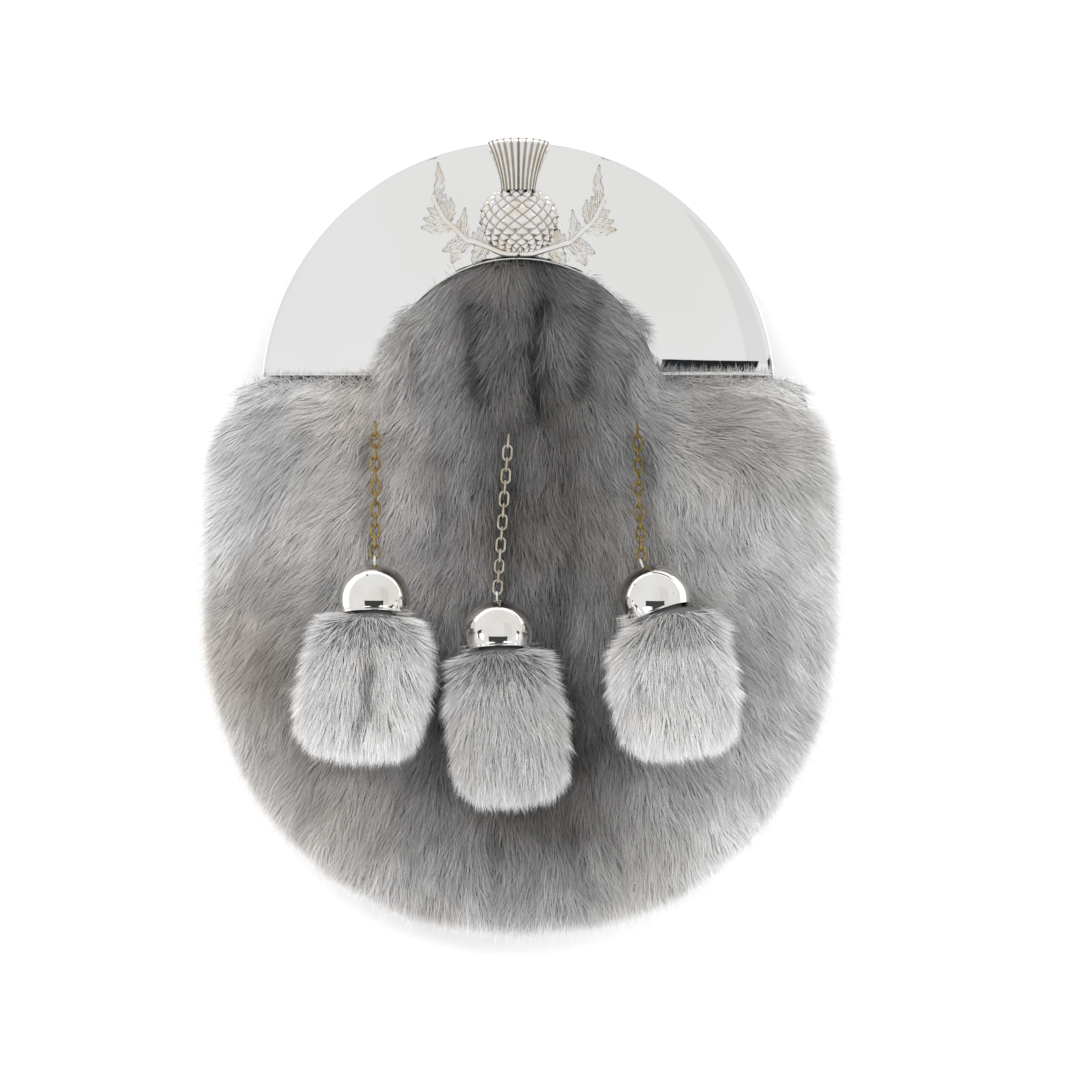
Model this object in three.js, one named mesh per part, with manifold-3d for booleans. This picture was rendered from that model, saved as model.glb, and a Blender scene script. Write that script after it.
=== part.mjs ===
// A dress sporran lying on its back. Millimetres, +X to the right of its front, +Y to its top, +Z up.
import * as THREE from 'three';
import { mergeVertices } from 'three/addons/utils/BufferGeometryUtils.js';
import Module from 'manifold-3d';

const wasm = await Module();
wasm.setup();

// ---- driving dimensions ----
const GAP = 0.3;                  // clearance between neighbouring pieces
const HEART_Y = -19;              // centre that the pouch outline is drawn about
const FUR = { halfWidth: 100.6, below: 105.8, above: 72, lowerPower: 2.15, upperPower: 6 };
const WALL = { halfWidth: 91, below: 96.5, above: 66, lowerPower: 2.15, upperPower: 6 };
const FUR_CROWN_Z = 50;           // highest point of the fur's outer form
const FUR_EDGE_Z = 31;            // height of the widest line of the fur
const FUR_UNDER_Z = 22;           // lowest fur, hanging outside the gusset
const PANEL_Z = 34.3;             // underside of the front panel
const PANEL_THICK = 2;
const LEATHER = 2;
const RISE_Z = 6.6;               // how far the back panel lifts to clear the belt loops
const RISE_FROM_Y = -2;
const RISE_TO_Y = 18;
const MOUTH_Y = 70;               // top edge of the back panel, where the pouch opens
const ARCH_Y = 44;                // common centre of the cantle's two arcs
const ARCH_X = -0.9;
const CANTLE = { inner: 43.4, outer: 80.5, foot: 51.2, edgeZ: 40, dome: 2, thick: 1.2, rim: 9, lip: 2.4 };
const POST = { radius: 1.5, clearance: 0.3, length: 5, spread: 6, y: 100 };
const BADGE_Z = 42.4;             // back of the thistle badge
const LOOP = { x: 42, width: 18, from: 24, to: 64, foot: 6, ramp: 3 };
const LINK = { length: 5.4, width: 3.4, wire: 0.8, pitch: 3.6 };
const BALL = { radius: 11, wall: 1, mouth: 4.5, eye: 1.5 };
const TASSEL_DEPTH = 27;
const DIP = 10 * Math.PI / 180;   // how far each ball's mouth points up from level

const PENDANTS = [
  { name: 'left', x: -45.2, y: -18.6, lean: 0, topX: -45.4, topY: 36, links: 12, endX: -51.5, endY: -66.7, width: 42.4 },
  { name: 'middle', x: -7, y: -29.6, lean: 2, topX: -3.7, topY: 34, links: 14, endX: -2, endY: -80.5, width: 38.6 },
  { name: 'right', x: 41.3, y: -18.7, lean: 20, topX: 36.2, topY: 34, links: 12, endX: 49.5, endY: -65.8, width: 40.8 },
];

const TASSEL_SECTIONS = [
  { at: 0.0, width: 7.4, depth: 7.4, share: 0 },
  { at: 0.06, width: 7.4, depth: 7.4, share: 0 },
  { at: 0.1, width: 12.5, depth: 11, share: 0 },
  { at: 0.17, width: 0, depth: 0, share: 0.8 },
  { at: 0.34, width: 0, depth: 0, share: 0.96 },
  { at: 0.6, width: 0, depth: 0, share: 1 },
  { at: 0.82, width: 0, depth: 0, share: 0.98 },
  { at: 0.94, width: 0, depth: 0, share: 0.84 },
  { at: 1.0, width: 0, depth: 0, share: 0.5 },
];

// Leaf lobes of the thistle, for the left side: where each starts, where it ends, and its half width.
const LOBES = [
  { name: 'crown', fromX: -26.6, fromY: 105.4, toX: -25.4, toY: 117.8, half: 1.5 },
  { name: 'outer', fromX: -22.6, fromY: 98.6, toX: -31.2, toY: 97.6, half: 2.0 },
  { name: 'notch', fromX: -23.4, fromY: 99.4, toX: -29.8, toY: 100.6, half: 1.6 },
  { name: 'inner', fromX: -23.4, fromY: 99.6, toX: -22.6, toY: 107.4, half: 1.8 },
  { name: 'second', fromX: -17.0, fromY: 93.4, toX: -17.4, toY: 103.4, half: 1.7 },
  { name: 'low_far', fromX: -17.8, fromY: 94.2, toX: -24.2, toY: 90.0, half: 2.0 },
  { name: 'low_mid', fromX: -17.4, fromY: 94.0, toX: -21.6, toY: 86.2, half: 2.2 },
  { name: 'low_near', fromX: -11.4, fromY: 92.6, toX: -14.8, toY: 86.6, half: 1.8 },
  { name: 'cheek', fromX: -12.4, fromY: 92.0, toX: -13.2, toY: 97.4, half: 1.6 },
];
const STEM = [
  { x: -0.6, y: 89.4 }, { x: -5.6, y: 89.8 }, { x: -11, y: 91.8 }, { x: -17, y: 93.6 },
  { x: -21, y: 97 }, { x: -24, y: 100.2 }, { x: -26.6, y: 105.4 }, { x: -27.2, y: 109 },
];

// ---- mesh helpers ----
function finished(positions, indices) {
  const geometry = new THREE.BufferGeometry();
  geometry.setAttribute('position', new THREE.Float32BufferAttribute(positions.flat(), 3));
  let volume = 0;
  for (let i = 0; i < indices.length; i += 3) {
    const [a, b, c] = [0, 1, 2].map((k) => new THREE.Vector3(...positions[indices[i + k]]));
    volume += a.dot(b.cross(c));
  }
  geometry.setIndex(volume < 0 ? indices.slice().reverse() : indices);
  return geometry;
}

// Skin a list of closed rings of equal length. Ends are closed on a point, or the rings loop round.
function skin(rings, { start = null, end = null, loop = false } = {}) {
  const count = rings[0].length;
  const positions = rings.flat();
  const indices = [];
  const rows = loop ? rings.length : rings.length - 1;
  for (let row = 0; row < rows; row += 1) {
    const next = (row + 1) % rings.length;
    for (let k = 0; k < count; k += 1) {
      const a = row * count + k;
      const b = row * count + (k + 1) % count;
      const c = next * count + (k + 1) % count;
      const d = next * count + k;
      indices.push(a, b, c, a, c, d);
    }
  }
  if (start) {
    const tip = positions.push(start) - 1;
    for (let k = 0; k < count; k += 1) indices.push(tip, (k + 1) % count, k);
  }
  if (end) {
    const tip = positions.push(end) - 1;
    const base = (rings.length - 1) * count;
    for (let k = 0; k < count; k += 1) indices.push(tip, base + k, base + (k + 1) % count);
  }
  return finished(positions, indices);
}

function centroid(ring) {
  return [0, 1, 2].map((axis) => ring.reduce((sum, point) => sum + point[axis], 0) / ring.length);
}

function toSolid(geometry) {
  const clean = geometry.clone();
  clean.deleteAttribute('normal');
  clean.deleteAttribute('uv');
  const merged = mergeVertices(clean, 1e-4);
  const index = merged.index.array;
  const kept = [];
  for (let i = 0; i < index.length; i += 3) {
    const [a, b, c] = [index[i], index[i + 1], index[i + 2]];
    if (a !== b && b !== c && a !== c) kept.push(a, b, c);
  }
  return new wasm.Manifold(new wasm.Mesh({
    numProp: 3,
    vertProperties: new Float32Array(merged.attributes.position.array),
    triVerts: new Uint32Array(kept),
  }));
}

function fromSolid(solid) {
  const mesh = solid.getMesh();
  const geometry = new THREE.BufferGeometry();
  geometry.setAttribute('position', new THREE.BufferAttribute(Float32Array.from(mesh.vertProperties), 3));
  geometry.setIndex(Array.from(mesh.triVerts));
  return geometry;
}

function box(x0, x1, y0, y1, z0, z1) {
  const geometry = new THREE.BoxGeometry(x1 - x0, y1 - y0, z1 - z0);
  geometry.translate((x0 + x1) / 2, (y0 + y1) / 2, (z0 + z1) / 2);
  return toSolid(geometry);
}

function upright(radius, x, y, z0, z1) {
  const geometry = new THREE.CylinderGeometry(radius, radius, z1 - z0, 12);
  geometry.rotateX(Math.PI / 2);
  geometry.translate(x, y, (z0 + z1) / 2);
  return toSolid(geometry);
}

function blend(from, to, value) {
  const t = Math.min(1, Math.max(0, (value - from) / (to - from)));
  return t * t * (3 - 2 * t);
}

function mix(a, b, t) {
  return a + (b - a) * t;
}

// ---- outlines, as distances from the heart of the pouch in each direction ----
function superRadius(shape, angle) {
  const upper = Math.sin(angle) > 0;
  const power = upper ? shape.upperPower : shape.lowerPower;
  const reach = upper ? shape.above : shape.below;
  const across = Math.abs(Math.cos(angle)) / shape.halfWidth;
  const along = Math.abs(Math.sin(angle)) / reach;
  return (across ** power + along ** power) ** (-1 / power);
}

function arcRadius(radius, angle) {
  const lift = ARCH_Y - HEART_Y;
  const middle = ARCH_X * Math.cos(angle) + lift * Math.sin(angle);
  const aside = ARCH_X ** 2 + lift ** 2 - middle ** 2;
  return aside < radius ** 2 ? middle + Math.sqrt(radius ** 2 - aside) : 0;
}

function wallRadius(angle) {
  return Math.max(superRadius(WALL, angle), arcRadius(CANTLE.outer - 2.5, angle));
}

// How far the fur shows: to its own edge, or to just short of the cantle.
function showRadius(angle) {
  if (Math.sin(angle) <= 0) return superRadius(FUR, angle);
  const level = CANTLE.foot - 0.5;
  const line = (level - HEART_Y) / Math.sin(angle);
  const opening = Math.sqrt((CANTLE.inner - 0.5) ** 2 - (level - ARCH_Y) ** 2);
  const under = Math.abs(line * Math.cos(angle) - ARCH_X) < opening;
  return under ? arcRadius(CANTLE.inner - 0.5, angle) : Math.min(superRadius(FUR, angle), line);
}

function at(angle, radius, z) {
  return [radius * Math.cos(angle), HEART_Y + radius * Math.sin(angle), z];
}

// 0 where the fur hangs over the gusset, 1 where the cantle covers the panel.
const SHOULDER = Math.atan2(CANTLE.foot - HEART_Y, 79.6);
function fold(angle) {
  return Math.asin(Math.sin(angle));
}

function edgeZ(angle) {
  return mix(FUR_EDGE_Z, CANTLE.edgeZ + 1, blend(SHOULDER - 0.17, SHOULDER - 0.01, fold(angle)));
}

function furTop(x, y) {
  const angle = Math.atan2(y - HEART_Y, x);
  const share = Math.min(1, Math.hypot(x, y - HEART_Y) / showRadius(angle));
  return edgeZ(angle) + (FUR_CROWN_Z - edgeZ(angle)) * Math.sqrt(1 - share ** 2.6);
}

function backZ(y) {
  return RISE_Z * Math.min(1, Math.max(0, (y - RISE_FROM_Y) / (RISE_TO_Y - RISE_FROM_Y)));
}

// Directions round the pouch: even steps, with the corners of every outline added.
function crossing(level, left) {
  let low = level > HEART_Y ? 0 : -Math.PI / 2;
  let high = level > HEART_Y ? Math.PI / 2 : 0;
  for (let step = 0; step < 50; step += 1) {
    const middle = (low + high) / 2;
    if (HEART_Y + wallRadius(middle) * Math.sin(middle) < level) low = middle;
    else high = middle;
  }
  return left ? Math.PI - low : low;
}

function directions() {
  const foot = Math.sqrt((CANTLE.inner - 0.5) ** 2 - (CANTLE.foot - 0.5 - ARCH_Y) ** 2);
  const marks = [-1, 1].map((side) => Math.atan2(CANTLE.foot - 0.5 - HEART_Y, ARCH_X + side * foot));
  marks.push(crossing(RISE_FROM_Y, false), crossing(RISE_FROM_Y, true));
  marks.push(crossing(RISE_TO_Y, false), crossing(RISE_TO_Y, true));
  const list = marks.map((angle) => (angle + 2 * Math.PI) % (2 * Math.PI));
  const steps = 76;
  for (let k = 0; k < steps; k += 1) {
    const angle = (2 * Math.PI * k) / steps;
    if (list.slice(0, marks.length).every((mark) => Math.abs(mark - angle) > 0.03)) list.push(angle);
  }
  return list.sort((a, b) => a - b);
}
const AROUND = directions();

// ---- the fur front: leather panel, pelt and the outer form of the deep fur ----
function furFront() {
  const shares = [0.24, 0.42, 0.58, 0.72, 0.83, 0.91, 0.965, 1];
  const top = shares.map((share) => AROUND.map((angle) => {
    const radius = share * showRadius(angle);
    const z = edgeZ(angle) + (FUR_CROWN_Z - edgeZ(angle)) * Math.sqrt(1 - share ** 2.6);
    return at(angle, radius, z);
  }));
  const panelTop = PANEL_Z + PANEL_THICK;
  const under = (pick) => AROUND.map((angle) => {
    const lift = blend(SHOULDER - 0.2, SHOULDER - 0.06, fold(angle));
    const slide = blend(SHOULDER - 0.05, SHOULDER + 0.04, fold(angle));
    const edge = wallRadius(angle) + 0.5 - 0.7 * slide;
    return at(angle, ...pick(angle, lift, slide, edge));
  });
  const side = under((angle, lift) => [
    showRadius(angle) - 1.6 * (1 - lift), mix(25.5, panelTop, lift)]);
  const lip = under((angle, lift, slide, edge) => [
    mix(Math.max(showRadius(angle) - 5, edge + 0.7), edge, slide), mix(FUR_UNDER_Z, panelTop - 0.3, lift)]);
  const inside = under((angle, lift, slide, edge) => [edge, mix(FUR_UNDER_Z + 0.3, panelTop - 1, lift)]);
  const seat = under((angle, lift, slide, edge) => [edge, PANEL_Z]);
  return skin([...top, side, lip, inside, seat], {
    start: [0, HEART_Y, FUR_CROWN_Z],
    end: [0, HEART_Y, PANEL_Z],
  });
}

// ---- leather ----
function wallOutline(inset, z) {
  return AROUND.map((angle) => at(angle, wallRadius(angle) - inset, z(angle)));
}

function gusset() {
  const foot = (angle) => backZ(HEART_Y + wallRadius(angle) * Math.sin(angle)) + LEATHER + GAP;
  const head = () => PANEL_Z - GAP;
  return skin([
    wallOutline(0, foot), wallOutline(0, head), wallOutline(LEATHER, head), wallOutline(LEATHER, foot),
  ], { loop: true });
}

function backPanel() {
  const line = [
    [-130, 0], [RISE_FROM_Y, 0], [RISE_TO_Y, RISE_Z], [MOUTH_Y, RISE_Z],
    [MOUTH_Y, RISE_Z + LEATHER], [RISE_TO_Y, RISE_Z + LEATHER], [RISE_FROM_Y, LEATHER], [-130, LEATHER],
  ];
  const shape = new THREE.Shape(line.map(([y, z]) => new THREE.Vector2(y, z)));
  const sheet = new THREE.ExtrudeGeometry(shape, { depth: 220, bevelEnabled: false });
  sheet.applyMatrix4(new THREE.Matrix4().makeBasis(
    new THREE.Vector3(0, 1, 0), new THREE.Vector3(0, 0, 1), new THREE.Vector3(1, 0, 0)));
  sheet.translate(-110, 0, 0);
  const outline = skin([wallOutline(0, () => -5), wallOutline(0, () => 30)], {
    start: [0, HEART_Y, -5], end: [0, HEART_Y, 30],
  });
  return fromSolid(toSolid(sheet).intersect(toSolid(outline)));
}

function beltLoop(side) {
  const seat = RISE_Z - GAP;
  const { from, to, foot, ramp } = LOOP;
  const line = [
    [from, seat], [from, seat - LEATHER], [from + foot, seat - LEATHER], [from + foot + ramp, 0],
    [to - foot - ramp, 0], [to - foot, seat - LEATHER], [to, seat - LEATHER], [to, seat],
    [to - foot - 1, seat], [to - foot - ramp - 1, LEATHER], [from + foot + ramp + 1, LEATHER], [from + foot + 1, seat],
  ];
  const shape = new THREE.Shape(line.map(([y, z]) => new THREE.Vector2(y, z)));
  const strip = new THREE.ExtrudeGeometry(shape, { depth: LOOP.width, bevelEnabled: false });
  strip.applyMatrix4(new THREE.Matrix4().makeBasis(
    new THREE.Vector3(0, 1, 0), new THREE.Vector3(0, 0, 1), new THREE.Vector3(1, 0, 0)));
  strip.translate(side * LOOP.x - LOOP.width / 2, 0, 0);
  return strip;
}

// ---- silver: cantle and badge ----
function faceZ(radius) {
  const middle = (CANTLE.inner + CANTLE.outer) / 2;
  const across = (radius - middle) / (CANTLE.outer - middle);
  return CANTLE.edgeZ + CANTLE.dome * (1 - across ** 2);
}

function revolved(profile) {
  const points = profile.map(([radius, z]) => new THREE.Vector2(radius, z));
  points.push(points[0].clone());
  const geometry = new THREE.LatheGeometry(points, 88);
  geometry.rotateX(Math.PI / 2);
  geometry.translate(ARCH_X, ARCH_Y, 0);
  const solid = toSolid(geometry);
  if (solid.volume() > 0) return solid;
  const index = Array.from(geometry.index.array).reverse();
  geometry.setIndex(index);
  return toSolid(geometry);
}

function cantle() {
  const { inner, outer, thick, rim, lip, foot, edgeZ: edge } = CANTLE;
  const stops = [inner + 1.4, inner + 7, inner + 18.5, outer - 7, outer - 1.6];
  const face = stops.map((radius) => [radius, faceZ(radius)]);
  const back = stops.map((radius) => [radius, faceZ(radius) - thick]).reverse();
  const plate = revolved([
    [inner, edge - lip], [inner, edge - 0.6], ...face, [outer - 0.4, edge - 0.5], [outer, edge - 1.4],
    [outer, edge - rim], [outer - thick, edge - rim], [outer - thick, edge - 2], ...back,
    [inner + thick, edge - lip],
  ]);
  const thickPlate = revolved([
    [inner + 0.2, edge - lip], [inner + 0.2, edge - 0.8], ...face, [outer - 0.4, edge - 0.7],
    [outer - 0.4, edge - lip],
  ]);
  const kept = plate.intersect(box(-100, 100, foot, 140, 0, 60));
  const hem = thickPlate.intersect(box(-100, 100, foot, foot + thick, 0, 60));
  let body = kept.add(hem);
  for (const side of [-1, 1]) {
    const hole = upright(POST.radius + POST.clearance, ARCH_X + side * POST.spread, POST.y, 30, 50);
    body = body.subtract(hole);
  }
  return fromSolid(body);
}

// A pointed lobe with a raised spine, from a root to a tip.
function lobe(fromX, fromY, toX, toY, half) {
  const length = Math.hypot(toX - fromX, toY - fromY);
  const [ax, ay] = [(toX - fromX) / length, (toY - fromY) / length];
  const rings = [[0, 0.55], [0.35, 1], [0.7, 0.72], [1, 0.12]].map(([along, share]) => {
    const [cx, cy] = [fromX + ax * length * along, fromY + ay * length * along];
    const w = half * share;
    return [[-1, 0], [1, 0], [1, 1.1], [0, 2.4 - along * 0.7], [-1, 1.1]].map(([aside, z]) => [
      cx - ay * w * aside, cy + ax * w * aside, BADGE_Z + z]);
  });
  return toSolid(skin(rings, { start: centroid(rings[0]), end: centroid(rings[3]) }));
}

function thistle() {
  const plume = [];
  for (let k = 0; k <= 5; k += 1) {
    const up = k / 5;
    const half = mix(5.3, 9.9, up ** 1.5);
    const y = mix(108.6, 123.4, up);
    const high = mix(6.2, 4.4, up);
    plume.push([-1, -0.5, 0, 0.5, 1].map((s) => [-0.8 + s * half, y + up * 1.3 * (1 - s * s), BADGE_Z + high - s * s * 2])
      .concat([[-0.8 + half, y, BADGE_Z], [-0.8 - half, y, BADGE_Z]]));
  }
  let body = toSolid(skin(plume, { start: centroid(plume[0]), end: centroid(plume[5]) }));
  const bulb = new THREE.SphereGeometry(1, 20, 12);
  bulb.scale(11.9, 10.9, 8.6);
  bulb.translate(-0.7, 99.9, BADGE_Z);
  body = body.add(toSolid(bulb).intersect(box(-20, 20, 80, 120, BADGE_Z, 60)));
  for (const side of [-1, 1]) {
    const mirrored = (x) => (side < 0 ? x : -x - 1.5);
    for (const piece of LOBES) {
      body = body.add(lobe(mirrored(piece.fromX), piece.fromY, mirrored(piece.toX), piece.toY, piece.half));
    }
    for (let k = 0; k + 1 < STEM.length; k += 1) {
      const [a, b] = [STEM[k], STEM[k + 1]];
      const reach = 1 + 0.5 / Math.hypot(b.x - a.x, b.y - a.y);
      const [toX, toY] = [mix(mirrored(a.x), mirrored(b.x), reach), mix(a.y, b.y, reach)];
      body = body.add(lobe(mirrored(a.x), a.y, toX, toY, 1.3));
    }
    body = body.add(upright(POST.radius, ARCH_X + side * POST.spread, POST.y, BADGE_Z - POST.length, BADGE_Z + 1));
  }
  return fromSolid(body);
}

// ---- pendants ----
function frameOf(origin, along, up) {
  const y = along.clone().normalize();
  const x = y.clone().cross(up).normalize();
  const z = x.clone().cross(y);
  return new THREE.Matrix4().makeBasis(x, y, z).setPosition(origin);
}

function mouthDirection(pendant) {
  const lean = pendant.lean * Math.PI / 180;
  return new THREE.Vector3(
    Math.sin(lean) * Math.cos(DIP), -Math.cos(lean) * Math.cos(DIP), Math.sin(DIP));
}

function ballCentre(pendant) {
  return new THREE.Vector3(pendant.x, pendant.y, furTop(pendant.x, pendant.y) + BALL.radius + 0.8);
}

function ballCap(pendant) {
  const { radius, wall, mouth, eye } = BALL;
  const arc = (size, steps) => {
    const stop = Math.PI / 2 + Math.asin(mouth / size);
    return Array.from({ length: steps + 1 }, (_, k) => {
      const angle = (stop * k) / steps;
      return new THREE.Vector2(size * Math.sin(angle), size * Math.cos(angle));
    });
  };
  const profile = [...arc(radius, 8), ...arc(radius - wall, 8).reverse()];
  profile[0].x = 0;
  profile[profile.length - 1].x = 0;
  const lathe = new THREE.LatheGeometry(profile, 22);
  let shell = toSolid(lathe);
  if (shell.volume() < 0) {
    lathe.setIndex(Array.from(lathe.index.array).reverse());
    shell = toSolid(lathe);
  }
  const ring = new THREE.TorusGeometry(eye, LINK.wire / 2, 6, 12);
  ring.rotateY(Math.PI / 2);
  ring.translate(0, radius + eye - 0.35, 0);
  const geometry = fromSolid(shell.add(toSolid(ring)));
  const away = mouthDirection(pendant).negate();
  geometry.applyMatrix4(frameOf(ballCentre(pendant), away, new THREE.Vector3(0, 0, 1)));
  return geometry;
}

function tassel(pendant) {
  const centre = ballCentre(pendant);
  const mouth = mouthDirection(pendant);
  const half = TASSEL_DEPTH / 2;
  const restX = mix(pendant.x, pendant.endX, 0.75);
  const restY = mix(pendant.y, pendant.endY, 0.62);
  const curve = new THREE.CubicBezierCurve3(
    centre.clone().addScaledVector(mouth, 2.6),
    centre.clone().addScaledVector(mouth, 16),
    new THREE.Vector3(restX, restY, furTop(restX, restY) + half + 2),
    new THREE.Vector3(pendant.endX, pendant.endY + 0.6, furTop(pendant.endX, pendant.endY) + half * 0.9 + 1.5));
  const sides = 16;
  const rings = TASSEL_SECTIONS.map((section) => {
    const wide = section.share ? section.share * pendant.width / 2 : section.width;
    const deep = section.share ? section.share * half : section.depth;
    const frame = frameOf(curve.getPoint(section.at), curve.getTangent(section.at), new THREE.Vector3(0, 0, 1));
    return Array.from({ length: sides }, (_, k) => {
      const angle = (2 * Math.PI * k) / sides;
      return new THREE.Vector3(wide * Math.cos(angle), 0, deep * Math.sin(angle)).applyMatrix4(frame).toArray();
    });
  });
  return skin(rings, { start: centroid(rings[0]), end: centroid(rings[rings.length - 1]) });
}

function linkBody() {
  const wire = LINK.wire / 2;
  const bend = LINK.width / 2 - wire;
  const straight = LINK.length / 2 - wire - bend;
  const rings = [];
  for (const end of [1, -1]) {
    for (let k = 0; k <= 5; k += 1) {
      const angle = (Math.PI * k) / 5 + (end > 0 ? 0 : Math.PI);
      const middle = [bend * Math.cos(angle), end * straight + bend * Math.sin(angle)];
      rings.push(Array.from({ length: 5 }, (_, s) => {
        const turn = (2 * Math.PI * s) / 5;
        const out = wire * Math.cos(turn);
        return [
          middle[0] + out * Math.cos(angle), middle[1] + out * Math.sin(angle), wire * Math.sin(turn)];
      }));
    }
  }
  return skin(rings, { loop: true });
}

function chain(pendant) {
  const away = mouthDirection(pendant).negate();
  const start = ballCentre(pendant).addScaledVector(away, BALL.radius + BALL.eye - 0.35);
  const flat = new THREE.Vector3(pendant.topX - start.x, pendant.topY - start.y, 0).normalize();
  const routeZ = (run) => {
    const [x, y] = [start.x + flat.x * run, start.y + flat.y * run];
    const rest = furTop(x, y) + LINK.width / 2 + 0.7;
    const first = furTop(start.x, start.y) + LINK.width / 2 + 0.7;
    return rest + (start.z - first) * Math.exp(-((run / 11) ** 2));
  };
  const point = (run) => new THREE.Vector3(start.x + flat.x * run, start.y + flat.y * run, routeZ(run));
  const links = [];
  const hook = BALL.eye + LINK.length / 2 - 1.5 * LINK.wire - 0.27;
  let run = hook;
  for (let k = 0; k < pendant.links; k += 1) {
    const along = point(run + 1).sub(point(run - 1)).normalize();
    const up = k % 2 === 0 ? new THREE.Vector3(0, 0, 1) : new THREE.Vector3().crossVectors(along, new THREE.Vector3(0, 0, 1));
    const geometry = linkBody();
    geometry.applyMatrix4(frameOf(point(run), along, up));
    links.push(geometry);
    let next = run + LINK.pitch;
    for (let pass = 0; pass < 6; pass += 1) {
      next = run + (next - run) * LINK.pitch / point(next).distanceTo(point(run));
    }
    run = next;
  }
  return links;
}

// ---- assembly ----
const sporran = new THREE.Group();
sporran.name = 'sporran';

function add(name, geometry, color, metalness, roughness) {
  const material = new THREE.MeshStandardMaterial({ color, metalness, roughness });
  material.name = name;
  const mesh = new THREE.Mesh(geometry, material);
  mesh.name = name;
  sporran.add(mesh);
}

add('cantle', cantle(), 0xe4e4e4, 1, 0.12);
add('thistle_badge', thistle(), 0xdedad4, 1, 0.2);
add('fur_front', furFront(), 0x8f8d8b, 0, 1);
add('gusset', gusset(), 0x1c1a19, 0, 0.6);
add('back_panel', backPanel(), 0x1c1a19, 0, 0.6);
add('belt_loop_left', beltLoop(-1), 0x1c1a19, 0, 0.6);
add('belt_loop_right', beltLoop(1), 0x1c1a19, 0, 0.6);
for (const pendant of PENDANTS) {
  add(`ball_${pendant.name}`, ballCap(pendant), 0xe4e4e4, 1, 0.08);
  add(`tassel_${pendant.name}`, tassel(pendant), 0xb5b3b1, 0, 1);
  const color = pendant.name === 'middle' ? 0xb9b2a2 : 0x9c8246;
  chain(pendant).forEach((geometry, k) => {
    add(`chain_${pendant.name}_${String(k + 1).padStart(2, '0')}`, geometry, color, 1, 0.35);
  });
}

export default sporran;
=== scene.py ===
# %% [markdown]
# # A dress sporran, built piece by piece
# The sporran lies on its back. +X is to the right of its front, +Y to the top of its cantle, +Z up.
# Sizes are given in millimetres in the tables and turned into metres as meshes are made.

import math

import bpy
import numpy as np
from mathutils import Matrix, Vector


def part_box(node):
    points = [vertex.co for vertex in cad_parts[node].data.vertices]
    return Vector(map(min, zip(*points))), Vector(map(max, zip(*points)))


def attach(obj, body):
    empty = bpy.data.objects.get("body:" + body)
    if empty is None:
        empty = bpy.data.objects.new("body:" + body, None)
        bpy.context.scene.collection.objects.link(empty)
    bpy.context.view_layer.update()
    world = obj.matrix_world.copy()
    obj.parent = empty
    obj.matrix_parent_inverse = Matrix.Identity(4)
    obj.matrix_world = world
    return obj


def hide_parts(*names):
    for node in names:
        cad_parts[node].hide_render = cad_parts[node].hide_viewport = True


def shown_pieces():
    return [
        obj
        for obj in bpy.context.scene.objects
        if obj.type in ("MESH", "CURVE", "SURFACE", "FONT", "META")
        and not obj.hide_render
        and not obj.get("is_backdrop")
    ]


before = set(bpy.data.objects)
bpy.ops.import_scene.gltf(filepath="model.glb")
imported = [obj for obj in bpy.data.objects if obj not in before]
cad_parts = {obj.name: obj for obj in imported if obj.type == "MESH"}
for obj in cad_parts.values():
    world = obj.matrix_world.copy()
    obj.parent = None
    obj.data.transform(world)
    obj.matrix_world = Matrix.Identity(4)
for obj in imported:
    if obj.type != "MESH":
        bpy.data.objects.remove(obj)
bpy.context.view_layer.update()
rng = np.random.default_rng(7)
MM = 0.001

# %% [markdown]
# ## Named sizes
# The outlines repeat the CAD's: a rounded body below, squarer shoulders above, and the cantle's two arcs.

# %% Sizes
HEART = -19.0
FUR = dict(wide=100.6, below=105.8, above=72.0, low_power=2.15, high_power=6.0)
WALL = dict(wide=91.0, below=96.5, above=66.0, low_power=2.15, high_power=6.0)
CROWN_Z, EDGE_Z, UNDER_Z, PANEL_Z = 50.0, 31.0, 22.0, 34.3
ARCH_X, ARCH_Y, ARCH_IN, ARCH_OUT, FOOT_Y = -0.9, 44.0, 43.4, 80.5, 51.2
PLATE_Z, DOME, PLATE, RIM = 40.0, 2.0, 1.2, 9.0
SHOULDER = math.atan2(FOOT_Y - HEART, 79.6)
BADGE_Z = 42.4
LINK_LONG, LINK_WIDE, LINK_WIRE = 5.4, 3.4, 0.8
DIP = math.radians(10)
PENDANTS = [
    dict(name="left", x=-45.2, y=-18.6, lean=0, top=(-45.4, 36.0), links=12),
    dict(name="middle", x=-7.0, y=-29.6, lean=2, top=(-3.7, 34.0), links=14),
    dict(name="right", x=41.3, y=-18.7, lean=20, top=(36.2, 34.0), links=12),
]
print("sizes ready")

# %% [markdown]
# ## Helpers
# Smooth steps, value noise and mesh makers. Every mesh is made from whole arrays.


# %% Number helpers
def step(low, high, value):
    """0 below low, 1 above high, an even S curve between."""
    t = np.clip((value - low) / (high - low), 0, 1)
    return t * t * (3 - 2 * t)


def noise(x, y, size, seed):
    """Smooth value noise from -1 to 1: random numbers on a square lattice of the given size, blended between."""
    table = np.random.default_rng(seed).uniform(-1, 1, (256, 256))
    u, v = np.asarray(x) / size + 500.3, np.asarray(y) / size + 500.7
    i, j = np.floor(u).astype(int), np.floor(v).astype(int)
    s, t = u - i, v - j
    s, t = s * s * (3 - 2 * s), t * t * (3 - 2 * t)
    pick = lambda a, b: table[a % 256, b % 256]
    low = pick(i, j) * (1 - s) + pick(i + 1, j) * s
    high = pick(i, j + 1) * (1 - s) + pick(i + 1, j + 1) * s
    return low * (1 - t) + high * t


def unit(v):
    """Each row scaled to length 1."""
    return v / np.maximum(np.linalg.norm(v, axis=-1, keepdims=True), 1e-9)


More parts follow.
